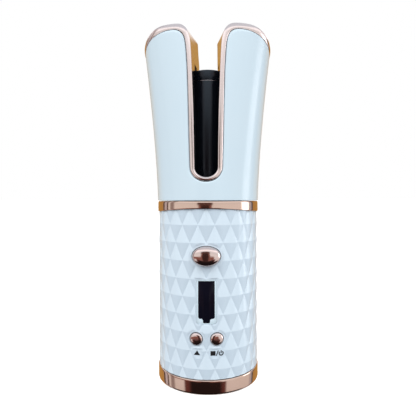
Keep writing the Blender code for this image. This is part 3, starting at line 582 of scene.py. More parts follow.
def head_line(foot_radius, stations):
    """Right half of an outline: a quarter circle below the slot, then the stations."""
    line = []
    for i in range(ARC):
        turn = QUARTER * i / ARC
        line.append(np.array((foot_radius * math.sin(turn),
                              SLOT_CENTRE_Z - foot_radius * math.cos(turn))))
    line += catmull(stations, CUTS)
    for point in line:
        point[0] = min(point[0], half_width(point[1]) * WIDEST)
    return line


def shifted(line, distance):
    """The line moved sideways; a positive distance moves it away from the slot."""
    out = []
    for i, point in enumerate(line):
        along = line[min(len(line) - 1, i + 1)] - line[max(0, i - 1)]
        if i == 0:
            along = np.array((1.0, 0.0))
        along = along / np.linalg.norm(along)
        out.append(point + distance * np.array((along[1], -along[0])))
    return out


PANEL_LINE = head_line(TRIM_HALF, [station[0] for station in STATIONS])
SLOT_LINE = head_line(SLOT_HALF, [station[1] for station in STATIONS])
REAR_LINE, MIDDLE_LINE = (
    head_line(SLOT_HALF, [changed.get(i, station[1]) for i, station in enumerate(STATIONS)])
    for changed in (REAR, MIDDLE))
TRIM_OUTER_LINE = shifted(PANEL_LINE, -SHADOW)
SEAM_LINE = [HEAD_BOTTOM] * ARC + [float(z) for z in catmull([s[2] for s in STATIONS], CUTS)]
# how far round, from the middle of the bottom edge to the side seam, each station ends
BOTTOM_SHARE = [i / ARC for i in range(ARC)] + [1.0] * (len(PANEL_LINE) - ARC)


# =========================================================== head panels
PANEL_DEPTH = 1.9
SEAM_GAP = 0.15
EDGE_ROLLS = [math.radians(angle) for angle in (90, 68, 45, 22, 0)]


def panel_ring(i, side):
    """Closed section of a panel: edge at the trim, outer face, far edge and inner face."""
    x, z = PANEL_LINE[i]
    end_z = SEAM_LINE[i]
    start_turn = outline_turn(x, z, side)
    seam_share = (SEAM_GAP / half_depth(end_z)) ** (power(end_z) / 2)
    seam_turn = math.asin(min(1.0, seam_share))
    end_turn = QUARTER + (seam_turn - QUARTER) * math.sin(QUARTER * BOTTOM_SHARE[i])
    length = max(1e-3, np.linalg.norm(skin(start_turn, z) - skin(end_turn, end_z)))
    near_radius = min(0.55, 0.25 * length)
    far_radius = min(0.14 if BOTTOM_SHARE[i] >= 1.0 else 0.35, 0.2 * length)
    low, high = near_radius / length, 1 - far_radius / length

    def at(share, sunk):
        return skin(start_turn + (end_turn - start_turn) * share, z + (end_z - z) * share, sunk)

    ring = [at(0.0, PANEL_DEPTH)]
    ring += [at(near_radius * (1 - math.sin(roll)) / length, near_radius * (1 - math.cos(roll)))
             for roll in EDGE_ROLLS]
    ring += [at(low + (high - low) * k / 26.0, 0.0) for k in range(1, 26)]
    ring += [at(1 - far_radius * (1 - math.sin(roll)) / length,
                far_radius * (1 - math.cos(roll))) for roll in reversed(EDGE_ROLLS)]
    ring += [at(low + (high - low) * k / 9.0, PANEL_DEPTH) for k in range(9, -1, -1)]
    return [(x, side * y, z) for x, y, z in ring]


def head_panel(name, side):
    """White casing half: one skin from the trim's edge to the bottom edge and the side seam."""
    rings = [panel_ring(i, side) for i in range(len(PANEL_LINE))]
    return from_lists(name, *loft(mirrored(rings)), [WHITE], sharp=40.0, weld=2e-4)


# =========================================================== slot trim
TRIM_FACE_STEPS = 11        # section steps from the outer edge to the slot's edge
TRIM_CROWNING = 0.22        # how far a wide trim face swells
FRONT_REACH_Z = 170.5       # above this the front rail reaches further in
FRONT_REACH = 15.0


def trim_ring(i, side):
    """Closed section of the trim: its face, the slot wall and the back."""
    outer_x, outer_z = TRIM_OUTER_LINE[i]
    slot_x, slot_z = SLOT_LINE[i] if side < 0 else REAR_LINE[i]
    outer_x = min(outer_x, half_width(outer_z) * WIDEST)
    outer_turn = outline_turn(outer_x, outer_z, side)
    slot_turn = outline_turn(slot_x, slot_z, side)
    outer_point, slot_point = skin(outer_turn, outer_z), skin(slot_turn, slot_z)
    outer_y, slot_y = outer_point[1], slot_point[1]
    width = max(1e-4, np.linalg.norm(outer_point - slot_point))
    edge_radius, slot_radius = min(0.25, 0.2 * width), min(0.55, 0.3 * width)
    low, high = edge_radius / width, 1 - slot_radius / width

    def face(share, sunk):
        return skin(outer_turn + (slot_turn - outer_turn) * share,
                    outer_z + (slot_z - outer_z) * share, sunk)

    def wall(x, z, y):
        return np.array((min(leaned(x, side * y), half_width(z)), y, z))

    def limit(x):
        """How near the middle plane the wall comes: to the chamber, or all the way above it."""
        if slot_z >= CHAMBER_TOP:
            return 0.0
        reach = CHAMBER_R if slot_z < FRONT_REACH_Z or side > 0 else FRONT_REACH
        return math.sqrt(max(0.0, reach ** 2 - x * x))

    sink = min(1.6, 0.5 * width + 0.2)
    ring = [face(0.0, sink), face(0.0, edge_radius),
            face(0.3 * edge_radius / width, 0.3 * edge_radius)]
    for step in (0.12, 0.3, 0.5, 0.7, 0.85):
        share = low + (high - low) * step
        ring.append(face(share, -TRIM_CROWNING * min(1.0, width / 3.0) * 4 * share * (1 - share)))
    for angle in (0, 22, 45, 68):
        roll = math.radians(angle)
        ring.append(face(1 - slot_radius * (1 - math.sin(roll)) / width,
                         slot_radius * (1 - math.cos(roll))))

    outer_back, slot_back = min(limit(outer_x), outer_y), min(limit(slot_x), slot_y)
    start = max(slot_back, slot_y - min(slot_radius, 0.5 * slot_y))
    # the wall runs straight from the edge to half way between front and rear
    for k in range(9):
        y = start + (slot_back - start) * k / 8
        share = 1 - y / start
        wall_x, wall_z = np.array((slot_x, slot_z)) * (1 - share) + MIDDLE_LINE[i] * share
        ring.append(wall(wall_x, wall_z, y))
    ring.append(wall((wall_x + outer_x) / 2, (wall_z + outer_z) / 2,
                     min((slot_back + outer_back) / 2, outer_y)))
    ring.append(wall(outer_x, outer_z, min(outer_back, max(0.0, outer_y - sink))))
    return [(x, side * y, z) for x, y, z in ring]


def slot_trim():
    """Plated band round the slot and over both wings, front rail and rear rail in one skin."""
    all_points, all_faces, picks = [], [], []
    for side in (-1, 1):
        rings = mirrored([trim_ring(i, side) for i in range(len(SLOT_LINE))])
        size = len(rings[0])
        points, faces = loft(rings)
        # faces in the middle plane would lie inside the joined skin; the caps always stay
        faces = [face for face in faces[:-2]
                 if not all(abs(points[k][1]) < 1e-6 for k in face)] + faces[-2:]
        # face steps take the trim's face colour, the rest the wall colour with its painted warm
        # reflection
        picks += [0 if face[0] % size < TRIM_FACE_STEPS else 1 for face in faces]
        base = len(all_points)
        all_points += points
        all_faces += [tuple(k + base for k in face) for face in faces]
    return from_lists("slot_trim_skin", all_points, all_faces, [TRIM_FACE, TRIM_WALL], picks,
                      sharp=45.0, weld=2e-4)


wear(head_panel("head_front_panel", -1), "body", "shell_white", "head_front_shell")
wear(head_panel("head_rear_panel", 1), "body", "shell_white", "head_rear_shell")
wear(slot_trim(), "body", "trim_rose_gold", "slot_trim")


# =========================================================== chamber liner
# (radius, height) round the wall, the floor and the roof, each with a hole at the axis
LINER_PROFILE = [
    (19.5, 174.8), (19.5, 99.5), (17.8, 99.5), (17.8, 104.0), (6.4, 104.0), (6.4, 105.5),
    (17.3, 105.5), (17.8, 106.0), (17.8, 173.0), (17.5, 173.3), (4.0, 173.3), (4.0, 174.8)]


def chamber_liner():
    """Black cup inside the head, open where the slot passes through it."""
    liner = lathe("chamber_liner_skin", LINER_PROFILE, LINER, steps=144)
    right = [(float(x), float(z)) for x, z in SLOT_LINE if z < 182.0 and x < 7.6]
    outline = [(-x, z) for x, z in reversed(right)] + right[1:]
    outline += [(8.2, 190.0), (8.2, 200.0), (-8.2, 200.0), (-8.2, 190.0)]
    gap = slab("slot_space", outline, -40, 40,
               shape=lambda x, y, z: (math.copysign(leaned(abs(x), y), x), y, z))
    boolean(liner, gap)
    apply_modifiers(liner, sharp=30.0)
    drop(gap)
    drop_flaps(liner, sharp=30.0)
    return liner


wear(chamber_liner(), "body", "liner_black", "chamber_liner")


# =========================================================== rotor
# (radius, height)
BARREL_PROFILE = [(11.0, 166.2), (11.0, 108.2), (9.6, 108.2), (9.6, 166.2)]
BARREL_CAP_PROFILE = [
    (0.001, 173.0), (4.0, 172.97), (8.2, 172.85), (9.3, 172.67), (10.0, 172.4),
    (10.42, 172.03), (10.62, 171.6), (10.70, 171.05), (10.70, 167.0), (10.66, 166.68),
    (10.5, 166.5), (9.3, 166.5), (9.3, 163.9), (0.001, 163.9)]
SEAM_RING_PROFILE = [(10.86, 166.47), (10.86, 166.23), (9.4, 166.23), (9.4, 166.47)]
WINDER_PROFILE = [(17.2, 107.9), (17.2, 105.9), (9.5, 105.9), (9.5, 107.9)]
HOOK_RADIUS = 14.5          # of the finger's centre from the axis
HOOK_FOOT, HOOK_HEIGHT = 108.1, 25.9
HOOK_HALF_X, HOOK_HALF_Y = 1.75, 2.5


def squared(value):
    """A cosine or sine flattened so that it draws a squarer circle."""
    return math.copysign(abs(value) ** 0.7, value)


def hook_finger():
    """A tapering finger with a blunt, leaning tip that gathers the hair."""
    rings = []
    for k in range(33):
        t = k / 32
        z = HOOK_FOOT + HOOK_HEIGHT * t
        grow = 1.0 if t < 0.75 else 1.0 - 0.75 * ((t - 0.75) / 0.25) ** 2
        centre_y = 2.0 * max(0.0, (t - 0.6) / 0.4) ** 2
        turns = [2 * math.pi * j / 28 for j in range(28)]
        rings.append([(HOOK_RADIUS + HOOK_HALF_X * grow * squared(math.cos(turn)),
                       centre_y + HOOK_HALF_Y * grow * squared(math.sin(turn)), z)
                      for turn in turns])
    return from_lists("hair_hook_skin", *loft(rings), [BLACK], sharp=50.0)


wear(lathe("barrel_skin", rounded(BARREL_PROFILE, 0.3), BLACK, steps=160),
     "rotor", "barrel_black", "barrel_tube")
wear(lathe("barrel_cap_skin", BARREL_CAP_PROFILE, BLACK, steps=160),
     "rotor", "barrel_black", "barrel_cap")
wear(lathe("barrel_seam_ring", rounded(SEAM_RING_PROFILE, 0.05, cuts=2), STEEL, steps=128),
     "rotor", "steel")
wear(lathe("winder_disc_skin", rounded(WINDER_PROFILE, 0.4), BLACK, steps=128),
     "rotor", "barrel_black", "winder_disc")
wear(hook_finger(), "rotor", "barrel_black", "hair_hook")


# =========================================================== rings and base
# (radius, height)
COLLAR_PROFILE = [
    (27.55, 99.2), (27.7, 99.36), (28.2, 99.4), (28.43, 99.32), (28.55, 99.08), (28.61, 98.7),
    (28.65, 97.6), (28.65, 96.5), (28.65, 95.2), (28.645, 94.1), (28.61, 93.86),
    (28.53, 93.74), (28.40, 93.70), (27.7, 93.70), (27.55, 93.80)]
BASE_RING_PROFILE = [
    (26.5, 7.6), (27.95, 7.6), (28.2, 7.55), (28.37, 7.38), (28.44, 7.1), (28.45, 6.6),
    (28.45, 1.3), (28.41, 0.85), (28.27, 0.5), (28.0, 0.33), (27.6, 0.3), (26.5, 0.3)]
BASE_CAP_PROFILE = [
    (0.001, 4.2), (24.0, 4.2), (24.0, 8.2), (25.6, 8.2), (25.6, 4.2), (26.1, 4.2),
    (26.1, 0.45), (25.95, 0.3), (21.45, 0.3), (21.3, 0.45), (21.3, 1.5), (0.001, 1.5)]
FOOT_PAD_PROFILE = [
    (0.001, 1.2), (21.0, 1.2), (21.0, 0.3), (20.8, 0.08), (20.5, 0.0), (19.2, 0.0),
    (19.0, 0.18), (18.0, 0.18), (17.8, 0.0), (0.001, 0.0)]
ARCH_TOP, ARCH_FADE, ARCH_RISE = 96.5, 2.3, 1.8


def collar_arch(point):
    """Raise the collar's lower edge at the front and the rear."""
    x, y, z = point
    if z < ARCH_TOP:
        share = min(1.0, (ARCH_TOP - z) / ARCH_FADE)
        z += ARCH_RISE * (y / math.hypot(x, y)) ** 2 * share
    return [x, y, z]


wear(lathe("collar_ring_skin", COLLAR_PROFILE, ROSE, steps=256, shape=collar_arch),
     "body", "trim_rose_gold", "collar_ring")
wear(lathe("base_ring_skin", BASE_RING_PROFILE, ROSE, steps=256),
     "body", "trim_rose_gold", "base_ring")
wear(lathe("base_cap_skin", BASE_CAP_PROFILE, WHITE, steps=192),
     "body", "shell_white", "base_cap")
wear(lathe("foot_pad_skin", FOOT_PAD_PROFILE, RUBBER, steps=160), "body", "rubber", "foot_pad")


# =========================================================== places on the handle
ROCKER_Z = 71.2
ROCKER_HOLE = (7.68, 5.38)                  # half width, half height
BUTTON_X, BUTTON_Z, BUTTON_HOLE_R = 5.35, 28.7, 3.50
ICON_Z = 21.45
# left, right, bottom, top, corner radius
BEZEL = (-5.3, 5.3, 36.35, 59.05, 1.7)
PORT_HOLE = (-4.9, 4.9, 13.0, 17.0, 1.6)
PORT_RIM = (-4.86, 4.86, 13.04, 16.96, 1.56)
PORT_RIM_HOLE = (-4.56, 4.56, 13.34, 16.66, 1.3)
BEZEL_GAP = 0.09


def ellipse_outline(radius_x, radius_z, centre_x, centre_z, count):
    turns = [2 * math.pi * i / count for i in range(count)]
    return [(centre_x + radius_x * math.cos(turn), centre_z + radius_z * math.sin(turn))
            for turn in turns]


def rounded_outline(left, right, bottom, top, radius):
    out = []
    for x, z, begin in ((right - radius, top - radius, 0), (left + radius, top - radius, 90),
                        (left + radius, bottom + radius, 180),
                        (right - radius, bottom + radius, 270)):
        for k in range(9):
            turn = math.radians(begin + 90 * k / 8)
            out.append((x + radius * math.cos(turn), z + radius * math.sin(turn)))
    return out


def window_outline(grow):
    """The display's window: a rectangle with small corners and a tab below with flared sides."""
    half, bottom, top = 4.2 + grow, 39.1 - grow, 58.4 + grow
    tab_half, tab_bottom = 1.65 + grow, 36.85 - grow
    corner = 0.35
    line = [(0.0, top), (half - corner, top), (half - 0.1, top - 0.1), (half, top - corner),
            (half, bottom + 0.9), (half - 0.2, bottom + 0.35), (half - 0.7, bottom),
            (tab_half + 0.9, bottom - 0.05), (tab_half + 0.45, bottom - 0.25),
            (tab_half + 0.15, bottom - 0.7), (tab_half, tab_bottom + 0.35),
            (tab_half - 0.1, tab_bottom + 0.1), (tab_half - 0.35, tab_bottom),
            (0.0, tab_bottom)]
    return line + [(-x, z) for x, z in reversed(line[1:-1])]


def on_barrel(x, radius):
    """y of the front of a cylinder about Z."""
    return -math.sqrt(radius * radius - x * x)


# =========================================================== faceted handle
ROW_TOP, ROW_PITCH, PER_TURN = 87.1, 9.235, 20
FACET_STEP = 2 * math.pi / PER_TURN
FACET_R, FACET_RISE, PAD_R = 27.75, 0.45, 27.85     # PAD_R: where facets are smoothed away
FINE = 12                                           # steps along a facet's side
HANDLE_BOTTOM, HANDLE_TOP, BORE_R = 7.9, 96.2, 26.0
HANDLE_SEAM = 0.12                                  # half the gap between the two shells
FACET_SKIN_R = 27.2                                 # faces beyond this are on the outside


def falling(distance, fade=0.9):
    """1 inside, 0 outside, smooth across `fade`."""
    t = min(1.0, max(0.0, 1.0 - distance / fade))
    return t * t * (3 - 2 * t)


def flatness(x, y, z):
    """How far the facets are smoothed away: round the controls, the window and the socket."""
    if y >= 0:
        return falling(max(abs(x) - 6.0, abs(z - 15.0) - 3.2))
    oval = (math.hypot(x / 8.3, (z - ROCKER_Z) / 6.0) - 1.0) * 7.0
    window = max(abs(x) - 5.4, abs(z - 47.8) - 11.4)
    buttons = min(math.hypot(x + BUTTON_X, z - BUTTON_Z),
                  math.hypot(x - BUTTON_X, z - BUTTON_Z)) - 4.0
    icons = max(min(abs(x + 4.92) - 2.1, abs(x - 5.3) - 3.8), abs(z - ICON_Z) - 1.8)
    return falling(min(oval, window, buttons, icons))


def row_shift(k):
    return 0.0 if k % 2 else math.pi / PER_TURN


def facet_lean(x, y, z):
    """About +1 on a triangle that stands on its row line and -1 on one that hangs from it,
    fading to 0 where the facets are smoothed away."""
    down = (ROW_TOP - z) / ROW_PITCH
    row = math.floor(down)
    t = 1.0 - (down - row)
    off = ((math.atan2(x, -y) - row_shift(row)) / FACET_STEP + 0.5) % 1.0 - 0.5
    radius = math.hypot(x, y)
    keep = 1.0 - flatness(PAD_R * x / radius, PAD_R * y / radius, z)
    # the most negative values, just under the crest above a hanging triangle, get the most painted
    # shade in the handle's white
    return keep * (1.15 - 0.3 * t if abs(off) <= 0.5 * (1 - t) else -0.85 - 0.3 * t)


def faceted_bar():
    """Triangles in rows.  Each row line is a raised crest between lattice points that lie on one
    cylinder; every triangle falls from its crest to its own tip and to its two slanted edges."""
    points, index, faces = [], {}, []

    def vertex(turn, z, radius):
        turn = turn % (2 * math.pi)
        x, y = math.sin(turn), -math.cos(turn)
        radius += (PAD_R - radius) * flatness(PAD_R * x, PAD_R * y, z)
        key = (round(turn * 1e5) % round(2 * math.pi * 1e5), round(z * 1e3))
        if key not in index:
            index[key] = len(points)
            points.append((radius * x, radius * y, z))
        return index[key]

    def facet(middle, base_z, tip_z):
        grid = []
        for a in range(FINE + 1):
            share, wide = a / FINE, (FINE - a) / 2
            z = base_z + (tip_z - base_z) * share
            row = []
            for b in range(FINE + 1 - a):
                across = (b - wide) / wide if wide else 0.0
                radius = FACET_R + FACET_RISE * (1 - share) * (1 - across * across)
                row.append(vertex(middle + FACET_STEP * (b - wide) / FINE, z, radius))
            grid.append(row)
        for a in range(FINE):
            for b in range(FINE - a):
                faces.append((grid[a][b], grid[a][b + 1], grid[a + 1][b]))
                if b < FINE - a - 1:
                    faces.append((grid[a][b + 1], grid[a + 1][b + 1], grid[a + 1][b]))

    for k in range(-1, 9):
        top, low = ROW_TOP - ROW_PITCH * k, ROW_TOP - ROW_PITCH * (k + 1)
        for j in range(PER_TURN):
            facet(row_shift(k) + j * FACET_STEP, low, top)
            facet(row_shift(k + 1) + j * FACET_STEP, top, low)
    obj = from_lists("faceted_bar", points, faces, [FACETED], sharp=4.0)
    # close both ends
    draft = bmesh.new()
    draft.from_mesh(obj.data)
    rims = [e for e in draft.edges if e.is_boundary]
    bmesh.ops.holes_fill(draft, edges=rims, sides=0)
    bmesh.ops.recalc_face_normals(draft, faces=draft.faces)
    draft.to_mesh(obj.data)
    draft.free()
    return obj


def handle_shells():
    """Front and rear halves of the faceted bar, bored out and opened for the controls."""
    blank = faceted_bar()
    bore = bar("handle_bore", BORE_R, 0.0, 110.0, steps=160)
    left, right, bottom, top, corner = BEZEL
    front_holes = {
        "cut_rocker": ellipse_outline(*ROCKER_HOLE, 0, ROCKER_Z, count=96),
        "cut_left": ellipse_outline(BUTTON_HOLE_R, BUTTON_HOLE_R, -BUTTON_X, BUTTON_Z, count=64),
        "cut_right": ellipse_outline(BUTTON_HOLE_R, BUTTON_HOLE_R, BUTTON_X, BUTTON_Z, count=64),
        "cut_window": rounded_outline(left - BEZEL_GAP, right + BEZEL_GAP, bottom - BEZEL_GAP,
                                      top + BEZEL_GAP, corner)}
    cutters = {-1: [slab(name, outline, -40, -15) for name, outline in front_holes.items()],
               1: [slab("cut_port", rounded_outline(*PORT_HOLE), 15, 40)]}
    for side, name, node_name in ((-1, "handle_front_skin", "handle_front_shell"),
                                  (1, "handle_rear_skin", "handle_rear_shell")):
        shell = link(name, blank.data.copy(), [FACETED])
        near, far = sorted((side * HANDLE_SEAM, side * 60.0))
        keep = slab("keep", [(-60, HANDLE_BOTTOM), (60, HANDLE_BOTTOM), (60, HANDLE_TOP),
                             (-60, HANDLE_TOP)], near, far)
        boolean(shell, keep, "INTERSECT")
        boolean(shell, bore)
        for cutter in cutters[side]:
            boolean(shell, cutter)
        apply_modifiers(shell, sharp=4.6)
        leans = []
        for face in shell.data.polygons:
            x, y, z = (c / MILLIMETRE for c in face.center)
            leans.append(facet_lean(x, y, z) if math.hypot(x, y) > FACET_SKIN_R else 0.0)
        # the facet value also sets the painted shade of the handle's white
        facet = shell.data.attributes.new("facet", "FLOAT", "FACE")
        facet.data.foreach_set("value", leans)
        drop(keep, *cutters[side])
        wear(shell, "body", "shell_white", node_name)
    drop(blank, bore)


handle_shells()


# =========================================================== window and bezel
def cut_hole(plate, name, outline, low, high, sharp=None):
    hole = slab(name, outline, low, high)
    boolean(plate, hole)
    apply_modifiers(plate, sharp)
    drop(hole)


def curved_plate(name, outer, inner, front_radius, back_radius, material, edge):
    """An (x, z) outline, with an optional inner outline, bent to the handle's curve."""
    plate = slab(name, outer, -40, -20)
    if inner:
        cut_hole(plate, "hole", inner, -45, -15)
    front = bar("front_bar", front_radius, 0, 110, steps=720)
    back = bar("back_bar", back_radius, -10, 120, steps=360)
    boolean(plate, front, "INTERSECT")
    boolean(plate, back)
    apply_modifiers(plate, sharp=20.0)
    drop(front, back)
    paint(plate.data, [material])
    bevel = plate.modifiers.new("edge", "BEVEL")
    bevel.width = edge * MILLIMETRE
    bevel.segments = 3
    bevel.limit_method = "ANGLE"
    bevel.angle_limit = math.radians(55)
    apply_modifiers(plate, sharp=20.0)
    return plate


wear(curved_plate("display_bezel", rounded_outline(*BEZEL), window_outline(grow=0.08),
                  front_radius=27.78, back_radius=26.3, material=WHITE, edge=0.16),
     "body", "shell_white")
wear(curved_plate("display_window", window_outline(grow=0.0), None,
                  front_radius=27.66, back_radius=26.2, material=WINDOW, edge=0.08),
     "body", "display_black", "display_lens")


# =========================================================== buttons
def dome(name, centre, radii, rise, base_radius, steps, rows, fullness):
    """A domed cap whose rim follows the handle's curve; `centre` and `radii` are (x, z)."""
    centre_x, centre_z = centre
    turns = [2 * math.pi * j / steps for j in range(steps)]
    rim = [(radii[0] * math.cos(turn), radii[1] * math.sin(turn)) for turn in turns]
    rings = []
    for k in range(1, rows + 1):
        share = math.sin(QUARTER * k / rows)
        lift = rise * max(0.0, 1 - share ** fullness) ** (1 / fullness)
        rings.append([(centre_x + x * share,
                       on_barrel(centre_x + x * share, base_radius) - lift,
                       centre_z + z * share) for x, z in rim])
    # the skirt below the rim, and a flat underside
    for sunk, shrink in ((0.12, 1.0), (0.5, 1.0), (2.2, 1.0), (2.2, 0.3)):
        rings.append([(centre_x + x * shrink, on_barrel(centre_x + x, base_radius) + sunk,
                       centre_z + z * shrink) for x, z in rim])
    points, faces = loft(rings, caps=False)
    tip = len(points)
    points.append((centre_x, on_barrel(centre_x, base_radius) - rise, centre_z))
    faces += [(tip, j, (j + 1) % steps) for j in range(steps)]
    faces.append(tuple(range(tip - steps, tip)))
    return from_lists(name, points, faces, [ROSE_CAP], sharp=50.0)


wear(dome("direction_rocker_skin", (0.0, ROCKER_Z), (7.4, 5.15), rise=3.35, base_radius=27.75,
          steps=192, rows=44, fullness=3.3), "rocker", "trim_rose_gold", "direction_rocker")
wear(slab("rocker_boss", [(-1.9, 67.0), (1.9, 67.0), (1.9, 75.4), (-1.9, 75.4)], -26.4, -21.9),
     "rocker", "liner_black")
for name, x, body, replaced in (
        ("temperature_button_skin", -BUTTON_X, "left_button", "temperature_button"),
        ("power_button_skin", BUTTON_X, "right_button", "power_button")):
    wear(dome(name, (x, BUTTON_Z), (3.22, 3.22), rise=1.35, base_radius=27.65, steps=128,
              rows=30, fullness=3.2), body, "trim_rose_gold", replaced)


# =========================================================== printed symbols
PRINT_LIFT, PRINT_SINK = 0.10, 0.06
POWER_X, POWER_RING_R = 7.5, 1.02


def symbol(name, outline):
    """A thin printed shape lying on the handle's curve."""
    front, back = ([(x, on_barrel(x, radius), z) for x, z in outline]
                   for radius in (PAD_R + PRINT_LIFT, PAD_R - PRINT_SINK))
    return prism(name, front, back, PRINT, sharp=30.0)


def ribbon(line, width):
    """Outline of a line with thickness."""
    left, right = [], []
    for i, (x, z) in enumerate(line):
        before, after = line[max(0, i - 1)], line[min(len(line) - 1, i + 1)]
        along_x, along_z = after[0] - before[0], after[1] - before[1]
        length = math.hypot(along_x, along_z)
        side_x, side_z = along_z / length * width / 2, along_x / length * width / 2
        left.append((x - side_x, z + side_z))
        right.append((x + side_x, z - side_z))
    return left + list(reversed(right))


power_ring = [(POWER_X + POWER_RING_R * math.sin(math.radians(angle)),
               ICON_Z - 0.1 + POWER_RING_R * math.cos(math.radians(angle)))
              for angle in range(38, 323, 12)]
SYMBOLS = {
    "symbol_triangle": [(-6.55, ICON_Z - 1.0), (-3.3, ICON_Z - 1.0), (-4.92, ICON_Z + 1.3)],
    "symbol_square": [(2.05, ICON_Z - 1.15), (4.6, ICON_Z - 1.15), (4.6, ICON_Z + 1.15),
                      (2.05, ICON_Z + 1.15)],
    "symbol_slash": ribbon([(5.0, ICON_Z - 1.3), (6.0, ICON_Z + 1.3)], width=0.42),
    "symbol_power_ring": ribbon(power_ring, width=0.52),
    "symbol_power_bar": ribbon([(POWER_X, ICON_Z - 0.05), (POWER_X, ICON_Z + 1.3)], width=0.50)}
for name, outline in SYMBOLS.items():
    wear(symbol(name, outline), "body", "liner_black")


# =========================================================== socket rim
def socket_rim():
    """Thin black frame in the rear shell's socket hole."""
    rim = slab("socket_rim", rounded_outline(*PORT_RIM), 26.4, 27.5)
    cut_hole(rim, "rim_hole", rounded_outline(*PORT_RIM_HOLE), 20, 40, sharp=30.0)
    return rim


wear(socket_rim(), "body", "liner_black")


# =========================================================== room
# what the polished surfaces see, by height: (position from straight down to straight up, colour)
ROOM_STOPS = [
    (0.0, (0.035, 0.030, 0.030)), (0.22, (0.16, 0.14, 0.13)), (0.34, (0.78, 0.74, 0.72)),
    (0.48, (0.92, 0.90, 0.88)), (0.56, (0.80, 0.80, 0.80)), (0.62, (1.02, 1.04, 1.06)),
    (0.66, (1.35, 1.37, 1.40)), (0.71, (1.25, 1.28, 1.32)), (0.76, (0.72, 0.79, 0.87)),
    (1.0, (0.70, 0.78, 0.86))]
# soft light for everything else, from above
FILL_STOPS = [(0.36, (0.16, 0.17, 0.18)), (0.66, (0.98, 0.99, 1.0))]
FILL_STRENGTH = 1.18
GOLD, TIMBER, BROWN = (0.54, 0.31, 0.090), (0.09, 0.045, 0.030), (0.27, 0.115, 0.090)
# colour, azimuth from the front (-Y) towards +X, elevation, softness of each, all in degrees;
# a later patch covers an earlier one
ROOM_PATCHES = [
    # warm timber behind
    (GOLD, (122, 400), (-55, 25), 3.0, 3.5),
    (GOLD, (-400, -120), (-55, 25), 3.0, 3.5),
    # upright bands on the left
    (TIMBER, (-120, -113), (-60, 60), 1.5, 3.0),
    ((0.62, 0.58, 0.62), (-113, -104), (-60, 60), 1.5, 3.0),
    (TIMBER, (-104, -99), (-60, 60), 1.5, 3.0),
    ((0.36, 0.30, 0.29), (-92, -80), (-60, 40), 3.0, 3.0),
    # bright window on the right, and two bands beyond it
    ((3.9, 3.9, 4.0), (84, 105), (-12, 15), 2.0, 5.0),
    ((0.55, 0.52, 0.55), (108, 118), (-60, 50), 1.5, 3.0),
    ((0.05, 0.07, 0.11), (118, 124), (-60, 50), 1.5, 3.0),
    # dark figure low in front
    ((0.14, 0.050, 0.042), (-53, 42), (-60, -18), 3.0, 2.5),
    (BROWN, (-85, 30), (-19, -7), 4.0, 2.5),
    (BROWN, (-19, 10), (-14, 3.0), 2.0, 1.2),
    ((0.12, 0.060, 0.050), (-22, 12), (1.0, 13.0), 2.0, 1.5),
    ((0.020, 0.012, 0.011), (-40, 32), (-80, -19), 6.0, 4.0),
    ((0.05, 0.022, 0.018), (-14, 5), (-20, 1.0), 2.0, 1.0),
    ((0.012, 0.008, 0.008), (-95, 92), (-95, -34), 6.0, 4.0)]


def color_ramp(tree, stops):
    made = node(tree, "ShaderNodeValToRGB")
    elements = made.color_ramp.elements
    for element, (position, color) in ((elements[0], stops[0]), (elements[1], stops[-1])):
        element.position = position
        element.color = (*color, 1)
    for position, color in stops[1:-1]:
        elements.new(position).color = (*color, 1)
    return made


def band(tree, value, limits, soft):
    """1 between the two limits, 0 outside, with soft ends."""
    rises = []
    for limit in limits:
        made = node(tree, "ShaderNodeMapRange", interpolation_type="SMOOTHSTEP",
                    **{"From Min": limit - soft, "From Max": limit + soft})
        feed(tree, made.inputs["Value"], value)
        rises.append(made.outputs["Result"])
    return combine(tree, "SUBTRACT", *rises)


def background(tree, color, strength=1.0):
    made = node(tree, "ShaderNodeBackground", Strength=strength)
    feed(tree, made.inputs["Color"], color)
    return made.outputs[0]


def room():
    """One world for reflections, a soft one for other light, and plain white for the camera."""
    world = bpy.data.worlds.new("studio")
    bpy.context.scene.world = world
    world.use_nodes = True
    tree = world.node_tree
    tree.nodes.clear()
    coord = node(tree, "ShaderNodeTexCoord")
    split = node(tree, "ShaderNodeSeparateXYZ")
    feed(tree, split.inputs[0], coord.outputs["Generated"])
    forward = combine(tree, "MULTIPLY", split.outputs["Y"], -1.0)
    turn = combine(tree, "ARCTAN2", split.outputs["X"], forward)
    azimuth = combine(tree, "DEGREES", turn, 0.0)
    climb = combine(tree, "ARCSINE", split.outputs["Z"], 0.0)
    elevation = combine(tree, "DEGREES", climb, 0.0)

    ramp = color_ramp(tree, ROOM_STOPS)
    height = combine(tree, "MULTIPLY_ADD", elevation, 1 / 180.0, 0.5)
    feed(tree, ramp.inputs["Fac"], height)
    seen = ramp.outputs["Color"]
    for color, azimuths, elevations, azimuth_soft, elevation_soft in ROOM_PATCHES:
        share = combine(tree, "MULTIPLY", band(tree, azimuth, azimuths, azimuth_soft),
                        band(tree, elevation, elevations, elevation_soft))
        seen = blend_colors(tree, share, seen, color)
    shine = background(tree, seen)

    fill = color_ramp(tree, FILL_STOPS)
    feed(tree, fill.inputs["Fac"], height)
    soft = background(tree, fill.outputs["Color"], FILL_STRENGTH)
    plain = background(tree, (1, 1, 1, 1))
    path = node(tree, "ShaderNodeLightPath")
    lit, shown = node(tree, "ShaderNodeMixShader"), node(tree, "ShaderNodeMixShader")
    for mix, ray, otherwise, chosen in ((lit, "Is Glossy Ray", soft, shine),
                                        (shown, "Is Camera Ray", lit.outputs[0], plain)):
        feed(tree, mix.inputs["Fac"], path.outputs[ray])
        feed(tree, mix.inputs[1], otherwise)
        feed(tree, mix.inputs[2], chosen)
    out = node(tree, "ShaderNodeOutputWorld")
    feed(tree, out.inputs["Surface"], shown.outputs[0])


# =========================================================== stage, in metres
LIGHT_TARGET = (0, 0, 0.10)
CAMERA_DISTANCE, CAMERA_HEIGHT = 0.2395, 0.1011
CAMERA_YAW, CAMERA_ROLL = math.radians(1.9), math.radians(0.14)


